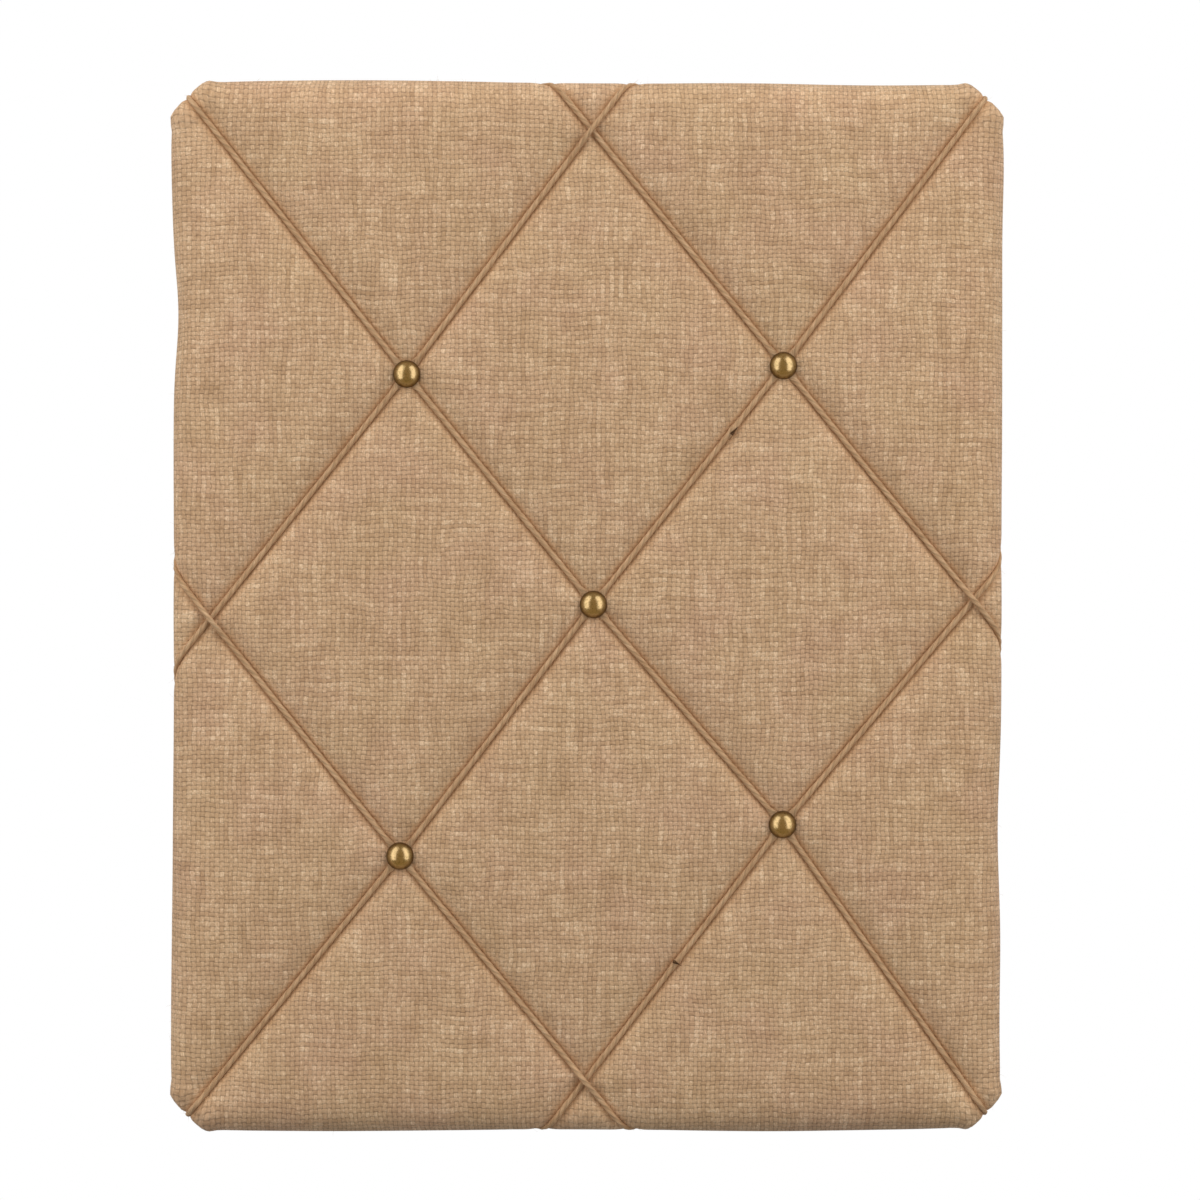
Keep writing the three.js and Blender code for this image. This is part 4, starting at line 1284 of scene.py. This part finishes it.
def build_screw(node):
    """A screw in the place of a frame node, its head towards +Y."""
    low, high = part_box(node)
    bm = bmesh.new()
    x, z, top, foot = (low.x + high.x) / 2, (low.z + high.z) / 2, high.y, low.y
    section = [(0, top), (0.9 * screw_head_radius, top), (screw_head_radius, top - 0.12 * MM),
               (screw_radius, top - screw_head_depth), (screw_radius, foot + screw_point), (0, foot)]
    verts = [bm.verts.new((radius, level, 0)) for radius, level in section]
    for a, b in zip(verts, verts[1:]):
        bm.edges.new((a, b))
    turn_profile(bm, Vector((x, z)), screw_steps)
    return bm, Vector((x, top, z))


def cross_cutter(place, turn):
    """Two crossed boxes for the recess."""
    bm = bmesh.new()
    for extra in (0, math.pi / 2):
        scale = Matrix.Diagonal((4.4 * MM, 2 * MM, 0.8 * MM, 1))
        turned = Matrix.Translation(place) @ Matrix.Rotation(turn + extra, 4, "Y")
        bmesh.ops.create_cube(bm, size=1, matrix=turned @ scale)
    return mesh_object("cross_cutter", bm)


screw_nodes = [f"{side}_hanger_screw_{level}" for side in ("left", "right") for level in ("upper", "lower")]
for index, node in enumerate(screw_nodes):
    bm, top = build_screw(node)
    screw = closed_object(f"{node}_turned", bm)
    cutter = cross_cutter(top, 0.4 + 0.9 * index)
    cut = screw.modifiers.new("cross", "BOOLEAN")
    cut.operation = "DIFFERENCE"
    cut.solver = "EXACT"
    cut.use_self = True
    cut.object = cutter
    apply_modifiers(screw)
    bpy.data.objects.remove(cutter)
    for polygon in screw.data.polygons:
        polygon.use_smooth = True
    screw.data.set_sharp_from_angle(angle=math.radians(35))
    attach(screw, "board")
    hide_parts(node)
    hardware.append(screw)
print("pieces of hardware:", len(hardware))

# %% [markdown]
# ## Fuzz
# Jute sheds. Loose fibre ends stand off the cords and the cloth, and show best against the white at the
# edge. Each is a tapering three-sided hair of a dozen faces, bent by a little noise, and there are some
# hundreds, so they are kept this plain. A fixed seed makes every run the same. Blender may number the faces
# of the cloth differently in each run, so a random place is drawn, and the hair grows from the nearest face.

# %% Fuzz
random.seed(11)


def add_fibre(bm, root, heading, length, radius, curl, sides=3):
    """A bent, tapering hair."""
    heading = heading.normalized()
    sideways = heading.orthogonal().normalized()
    other = heading.cross(sideways)
    bend = sideways * random.uniform(-1, 1) + other * random.uniform(-1, 1)

    def on_hair(round_share, along_share):
        middle = root + heading * length * along_share + bend * (curl * length * along_share ** 2)
        angle = 2 * math.pi * round_share
        thick = radius * (1 - 0.97 * along_share)
        return middle + (sideways * math.cos(angle) + other * math.sin(angle)) * thick

    roll_tube(bm, sides, 4, on_hair)


cord_fuzz = bmesh.new()
for name, stations in cord_stations.items():
    shown = [index for index in range(4, len(stations) - 4) if stations[index][2] < 0.5]
    for _ in range(round(cord_lengths[name] / (5.2 * MM))):
        index = random.choice(shown)
        place, outward, _ = stations[index]
        along = (stations[index + 1][0] - stations[index - 1][0]).normalized()
        side = along.cross(outward)
        angle = random.uniform(0, math.pi)
        away = side * math.cos(angle) + outward * math.sin(angle)
        heading = along * random.choice((-1, 1)) * random.uniform(0.6, 1.6) + away * random.uniform(0.3, 0.9)
        length = random.uniform(1.5, 5.5) * MM
        add_fibre(cord_fuzz, place + away * yarn_radius, heading, length, radius=0.055 * MM, curl=0.35)
for name, place in joins.items():
    line = lines[name]
    along = (line[-1] - line[-2]).normalized()
    for _ in range(9):
        root = Vector((place.x, face_level - 2.6 * MM, place.y))
        heading = Vector((along.x, 0, along.y)) * random.uniform(-1, 1)
        heading += Vector((random.uniform(-0.6, 0.6), random.uniform(-0.6, 0), random.uniform(-0.6, 0.6)))
        add_fibre(cord_fuzz, root, heading, random.uniform(3, 7) * MM, radius=0.09 * MM, curl=0.4)
fleck_level = face_level - 4 * MM
flecks = bmesh.new()
for root, heading, length in (
    (Vector((69.2 * MM, fleck_level, 82.4 * MM)), Vector((0.62, -0.15, 0.78)), 5.2 * MM),
    (Vector((41.2 * MM, fleck_level, -171.2 * MM)), Vector((0.9, -0.15, -0.35)), 4.4 * MM),
):
    add_fibre(flecks, root, heading, length, radius=0.95 * MM, curl=0.15, sides=8)
dark_flecks = closed_object("dark_flecks", flecks)
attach(dark_flecks, "board")
yarn_fuzz = closed_object("cord_fuzz", cord_fuzz)
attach(yarn_fuzz, "board")

cloth_fuzz = bmesh.new()
shown = [polygon for polygon in cover.data.polygons if polygon.center.y < cloth_back - 1.5 * MM]
shown_tree = KDTree(len(shown))
for index, polygon in enumerate(shown):
    shown_tree.insert(polygon.center, index)
shown_tree.balance()


def face_near(low, high):
    """The shown face of the cloth that is nearest to a random place in a box."""
    return shown[shown_tree.find([random.uniform(a, b) for a, b in zip(low, high)])[1]]


around = Vector((14 * MM, 0, 14 * MM))
picks = [face_near(cover_low - around, cover_high + around) for _ in range(520)]
tuft_low = (-76 * MM, face_level, cover_high.z)
tuft_high = (-56 * MM, cloth_back, cover_high.z + 2 * MM)
picks += [face_near(tuft_low, tuft_high) for _ in range(40)]
for polygon in picks:
    spread = Vector((random.uniform(-1, 1), random.uniform(-1, 1), random.uniform(-1, 1)))
    heading = polygon.normal * random.uniform(0.15, 0.7) + spread * 0.7
    add_fibre(cloth_fuzz, polygon.center - polygon.normal * 0.1 * MM, heading,
              random.uniform(1.2, 4.6) * MM, radius=0.05 * MM, curl=0.4)
hessian_fuzz = closed_object("hessian_fuzz", cloth_fuzz)
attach(hessian_fuzz, "board")
print("fuzz faces:", len(yarn_fuzz.data.polygons) + len(hessian_fuzz.data.polygons))

# %% [markdown]
# ## Hessian, the plain weave
# Hessian is jute in plain weave: each thread goes over one and under the next, about twelve to the inch.
# The pattern is worked out from the UV map, which is in metres of flat cloth. Dividing by the thread
# spacing numbers the threads, and the sum of a cell's two numbers says which thread is on top there. The
# thread on top gets a round crown, and noise that runs along each thread makes it thick and thin, pale and
# dark, as hand-spun jute is. Between threads it is dark: the gaps are real, and the colour is also painted
# darker there and down each thread's sides as shade, and a little lighter on the crowns. The same height
# drives the bump. Along each cord the colour is painted lighter and warmer in the crease, as painted light
# that lifts the shade there; an attribute of the cloth, 1 under a cord, blends it in.

# %% Hessian material
thread_pitch = (2.13 * MM, 2.17 * MM)
thread_wander = 4.2 * MM
weft_offset = 731.0
key_step = 2.37
hessian, tree = new_material("hessian_plain_weave")
flat = add(tree, "UVMap", uv_map=uv_name)
wander = add(tree, "TexNoise", {"Vector": flat, "Scale": 45.0, "Detail": 3.0})
centred = calc(tree, "SUBTRACT", wander.outputs["Color"], (0.5, 0.5, 0.5), kind="VectorMath")
shifted = add(tree, "VectorMath", {0: centred, "Scale": thread_wander}, operation="SCALE")
threads = calc(tree, "ADD", flat, shifted, kind="VectorMath")
place = calc(tree, "DIVIDE", threads, (*thread_pitch, 1), kind="VectorMath")
whole = calc(tree, "FLOOR", place, kind="VectorMath")
within = calc(tree, "FRACTION", place, kind="VectorMath")
off_middle = calc(tree, "MULTIPLY_ADD", within, (2, 2, 0), (-1, -1, 0), kind="VectorMath")
distance = add(tree, "SeparateXYZ", [calc(tree, "ABSOLUTE", off_middle, kind="VectorMath")])
side = add(tree, "SeparateXYZ", [off_middle])
cell = add(tree, "SeparateXYZ", [whole])
run = add(tree, "SeparateXYZ", [place])
cell_sum = calc(tree, "ADD", cell.outputs["X"], cell.outputs["Y"])
warp_over = calc(tree, "FLOORED_MODULO", cell_sum, 2.0)


def on_top(of_weft, of_warp):
    """The value of the thread that is on top: 0 in warp_over means the weft and 1 the warp."""
    return add(tree, "Mix", {"Factor": warp_over, "A": of_weft, "B": of_warp})


def slub(number, along_thread, offset):
    """Noise that changes slowly along a thread and differs from thread to thread."""
    key = calc(tree, "MULTIPLY_ADD", cell.outputs[number], key_step, offset)
    slow_run = calc(tree, "MULTIPLY", run.outputs[along_thread], 0.09)
    return add(tree, "TexNoise", {
        "Vector": add(tree, "CombineXYZ", [key, slow_run]), "Scale": 1.0, "Detail": 2.0})


across = on_top(distance.outputs["Y"], distance.outputs["X"])
along = on_top(distance.outputs["X"], distance.outputs["Y"])
side_of = on_top(side.outputs["Y"], side.outputs["X"])
top_run = on_top(run.outputs["X"], run.outputs["Y"])
number = on_top(calc(tree, "ADD", cell.outputs["Y"], weft_offset), cell.outputs["X"])
thread_key = calc(tree, "MULTIPLY", number, key_step)
fibre_across = calc(tree, "MULTIPLY_ADD", side_of, 1.5, thread_key)
fibres = add(tree, "TexNoise", {
    "Vector": add(tree, "CombineXYZ", [fibre_across, top_run]), "Scale": 1.3, "Detail": 3.0})
weft_slub = slub("Y", "X", weft_offset)
warp_slub = slub("X", "Y", 0.0)

thread_width = add(tree, "MapRange", [on_top(weft_slub, warp_slub), 0.3, 0.7, 0.9, 1.4])
inner_edge = calc(tree, "SUBTRACT", thread_width, 0.5)
covered = add(tree, "MapRange", [across, inner_edge, thread_width, 1.0, 0.55],
              interpolation_type="SMOOTHSTEP")
across_drop = calc(tree, "MULTIPLY_ADD", calc(tree, "POWER", across, 2.0), -0.58, 1.0)
along_drop = calc(tree, "MULTIPLY_ADD", calc(tree, "POWER", along, 2.0), -0.22, 1.0)
crown = calc(tree, "MULTIPLY", across_drop, along_drop)
corner = calc(tree, "MINIMUM", across, along)
pinhole = add(tree, "MapRange", [corner, 0.55, 1.0, 1.0, 0.28], interpolation_type="SMOOTHSTEP")
thread_top = calc(tree, "MULTIPLY", crown, covered)
height = calc(tree, "MULTIPLY", thread_top, pinhole)

nub = add(tree, "TexWhiteNoise", {"Vector": whole}, noise_dimensions="2D")
nub_share = add(tree, "MapRange", {0: nub.outputs["Value"], 3: 0.32, 4: 0.68})
both_slubs = add(tree, "Mix", {"Factor": 0.5, "A": weft_slub, "B": warp_slub})
slub_tone = add(tree, "Mix", {"Factor": 0.48, "A": both_slubs, "B": fibres})
tone = add(tree, "Mix", {"Factor": 0.15, "A": slub_tone, "B": nub_share})
thread_colour = ramp(tree, tone, (0.38, "ac8763"), (0.47, "be9a78"), (0.54, "cfac89"), (0.62, "eacdac"))
blotch = add(tree, "TexNoise", {"Vector": flat, "Scale": 26.0, "Detail": 2.0})
tint = ramp(tree, blotch, (0.34, "c9b48f"), (0.5, "c4ab8c"), (0.66, "c9a894"))
tinted = mix_colours(tree, 0.17, thread_colour, tint)
lay_tone = add(tree, "MapRange", {0: warp_over, 3: 0.95, 4: 1.04})
# Painted shade from the weave's height: the colour is darker between the threads and down their sides, and a
# little lighter on their crowns.
weave_relief_shade = add(tree, "MapRange", [height, 0.1, 0.75, 0.63, 1.08])
shaded = mix_colours(tree, 1.0, tinted, calc(tree, "MULTIPLY", weave_relief_shade, lay_tone), "MULTIPLY")
# Painted light in the crease along each cord: the colour there is blended towards a lighter, warmer brown,
# which lifts the shade of the crease.
pressed = add(tree, "Attribute", attribute_name="crease_paint").outputs["Fac"]
crease_light_share = add(tree, "MapRange", [pressed, 0.15, 0.8, 0.0, 0.65])
crease_lit_colour = mix_colours(tree, crease_light_share, shaded, linear("d2a273"))
fine_height = calc(tree, "MULTIPLY_ADD", fibres, 0.22, height)
weave_bump = add(tree, "Bump", {"Height": fine_height, "Distance": 0.32 * MM, "Strength": 0.9})
show(tree, "BsdfPrincipled", {
    "Base Color": crease_lit_colour, "Roughness": 0.92, "Specular IOR Level": 0.18, "Sheen Weight": 0.12,
    "Sheen Roughness": 0.5, "Normal": weave_bump})
print("hessian threads per inch:", round(25.4 * MM / thread_pitch[0], 1))

# %% [markdown]
# ## Jute yarn
# The cords are the same fibre, spun but not woven, so they look smoother and a little more golden. Streaks
# follow the twist: the map's second coordinate runs along the cord, and is added to the one that runs
# round it, turn for turn. Noise squeezed across that direction draws the fibres. The cord's sides, where it
# lies in its groove, are painted warmer and darker as shade, and the grooves between its plies are painted
# darker as shade too. Loose fibres and the dark root fibres are plainer: one
# function makes such a material, whose colour follows noise that is fixed in the piece.

# %% Yarn material
yarn, tree = new_material("jute_yarn")
strand = add(tree, "SeparateXYZ", [add(tree, "UVMap", uv_map="yarn")])
turns = calc(tree, "MULTIPLY", strand.outputs["Y"], -1 / twist_length)
lay = calc(tree, "ADD", strand.outputs["X"], turns)
lay_angle = calc(tree, "MULTIPLY", lay, 2 * math.pi)
lengthways = calc(tree, "MULTIPLY", strand.outputs["Y"], 90.0)
spun = add(tree, "CombineXYZ", [calc(tree, "COSINE", lay_angle), calc(tree, "SINE", lay_angle), lengthways])
streaks = add(tree, "TexNoise", {"Vector": spun, "Scale": 3.2, "Detail": 3.0})
yarn_tone = add(tree, "Mix", {"Factor": 0.35, "A": streaks, "B": object_noise(tree, 90.0, 2.0)})
yarn_colour = ramp(tree, yarn_tone, (0.30, "9a7552"), (0.45, "bb9772"), (0.58, "c9a681"), (0.72, "dcbe9a"))
ply_wave = calc(tree, "COSINE", calc(tree, "MULTIPLY", lay_angle, float(plies)))
ply_shade = add(tree, "MapRange", [ply_wave, -1.0, -0.1, 0.8, 1.0], interpolation_type="SMOOTHSTEP")
outwards = calc(tree, "SINE", calc(tree, "MULTIPLY", strand.outputs["X"], 2 * math.pi))
# Painted shade on the cord's flanks, where it sinks into its groove: the colour turns darker and warmer
# towards each side.
flank_shade_share = add(tree, "MapRange", [outwards, 0.1, 0.97, 0.6, 0.0], interpolation_type="SMOOTHSTEP")
yarn_shaded = mix_colours(tree, 1.0, yarn_colour, ply_shade, "MULTIPLY")
yarn_flank_shaded = mix_colours(tree, flank_shade_share, yarn_shaded, linear("b1875f"))
yarn_bump = add(tree, "Bump", {"Height": streaks, "Distance": 0.25 * MM, "Strength": 0.7})
show(tree, "BsdfPrincipled", {
    "Base Color": yarn_flank_shaded, "Roughness": 0.85, "Specular IOR Level": 0.25, "Sheen Weight": 0.12,
    "Sheen Roughness": 0.5, "Normal": yarn_bump})
print("yarn turns once every", round(twist_length / MM, 1), "mm")


# %% Loose fibres
def noisy_material(name, scale, detail, stops, shader, bump=None):
    """A material whose colour runs along a ramp with the piece's noise. bump is a depth and a strength."""
    material, tree = new_material(name)
    spots = object_noise(tree, scale, detail)
    inputs = {"Base Color": ramp(tree, spots, *stops), **shader}
    if bump:
        inputs["Normal"] = add(tree, "Bump", {"Height": spots, "Distance": bump[0], "Strength": bump[1]})
    show(tree, "BsdfPrincipled", inputs)
    return material


fuzz = noisy_material("loose_jute_fibre", 260.0, 1.0, ((0.35, "b08a5e"), (0.65, "e2c8a2")),
                      {"Roughness": 0.7, "Specular IOR Level": 0.3})
bark = noisy_material("dark_root_fibre", 900.0, 2.0, ((0.35, "301d0f"), (0.65, "5e4124")),
                      {"Roughness": 0.8, "Specular IOR Level": 0.3})
print("fibre materials:", fuzz.name, "and", bark.name)

# %% [markdown]
# ## Metals
# The nails are steel with an antique brass plate: the makers darken it and polish the crown, so brass shows
# on top and brown stays at the rim and in small spots. The mask for that is the surface's own direction:
# the crown looks along -Y. Hangers are nickel plated and lightly scuffed, staples are zinc grey.

# %% Antique brass
brass, tree = new_material("antique_brass_plate")
facing = add(tree, "SeparateXYZ", [add(tree, "TexCoord").outputs["Normal"]])
crown_mask = add(tree, "MapRange", [facing.outputs["Y"], -0.35, -0.85, 0.0, 1.0],
                 interpolation_type="SMOOTHSTEP")
spot_mask = add(tree, "MapRange", [object_noise(tree, 900.0, 4.0), 0.5, 0.66, 0.0, 0.4])
polished = calc(tree, "SUBTRACT", crown_mask, spot_mask, use_clamp=True)
hammer = object_noise(tree, 420.0, 2.0)
show(tree, "BsdfPrincipled", {
    "Base Color": ramp(tree, polished, (0.0, "7c6742"), (0.5, "a49268"), (1.0, "c7af86")),
    "Metallic": 1.0,
    "Roughness": add(tree, "MapRange", {0: polished, 3: 0.38, 4: 0.26}),
    "Normal": add(tree, "Bump", {"Height": hammer, "Distance": 0.03 * MM, "Strength": 0.12})})
print("brass is polished where it faces forward")

# %% Nickel and zinc
nickel, tree = new_material("nickel_plated_steel")
scuffs = object_noise(tree, 220.0, 1.0)
show(tree, "BsdfPrincipled", {
    "Base Color": ramp(tree, scuffs, (0.35, "b6b3ab"), (0.65, "c8c5bd")),
    "Metallic": 1.0,
    "Roughness": add(tree, "MapRange", [scuffs, 0.35, 0.65, 0.3, 0.24]),
    "Normal": add(tree, "Bump", {"Height": scuffs, "Distance": 0.02 * MM, "Strength": 0.12})})
zinc = noisy_material("galvanised_wire", 1200.0, 2.0, ((0.3, "9c9c9a"), (0.7, "c6c6c3")),
                      {"Metallic": 1.0, "Roughness": 0.4})
print("metals made")

# %% [markdown]
# ## Board, backing and wadding
# The backing is kraft board: brown pulp with darker flecks and a faint grain. The fibreboard panel is
# pressed wood fibre, and the wadding is white polyester with a loose, cloudy surface.

# %% Kraft, fibreboard and wadding
kraft, tree = new_material("kraft_board")
spot = add(tree, "TexCoord").outputs["Object"]
stretched = add(tree, "Mapping", {"Vector": spot, "Scale": (1.0, 1.0, 0.35)})
pulp = add(tree, "TexNoise", {"Vector": stretched, "Scale": 320.0, "Detail": 5.0, "Roughness": 0.7})
kraft_tone = add(tree, "Mix", {"Factor": 0.2, "A": pulp, "B": object_noise(tree, 16.0, 3.0)})
kraft_stops = ((0.34, "9c7c58"), (0.47, "b08f6a"), (0.56, "b99975"), (0.66, "c8ab88"))
show(tree, "BsdfPrincipled", {
    "Base Color": ramp(tree, kraft_tone, *kraft_stops), "Roughness": 0.85, "Specular IOR Level": 0.3,
    "Normal": add(tree, "Bump", {"Height": pulp, "Distance": 0.06 * MM, "Strength": 0.5})})
fibreboard = noisy_material("pressed_fibreboard", 500.0, 4.0, ((0.35, "8a6c4a"), (0.65, "b5966d")),
                            {"Roughness": 0.9})
polyester = noisy_material("polyester_wadding", 180.0, 5.0, ((0.3, "dedbd2"), (0.7, "f6f4ee")),
                           {"Roughness": 1.0, "Sheen Weight": 0.3}, bump=(1.0 * MM, 0.6))
print("materials:", len(bpy.data.materials))
# %% Give every piece its material
for material, pieces in (
    (hessian, [cover]), (polyester, [wadding]), (fuzz, [yarn_fuzz, hessian_fuzz]), (bark, [dark_flecks]),
    (kraft, [backing]), (zinc, [backing_staples, *staples]), (yarn, cords), (brass, brass_nails),
    (nickel, hardware), (fibreboard, [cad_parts["fibreboard_panel"]]),
):
    for piece in pieces:
        piece.data.materials.clear()
        piece.data.materials.append(material)
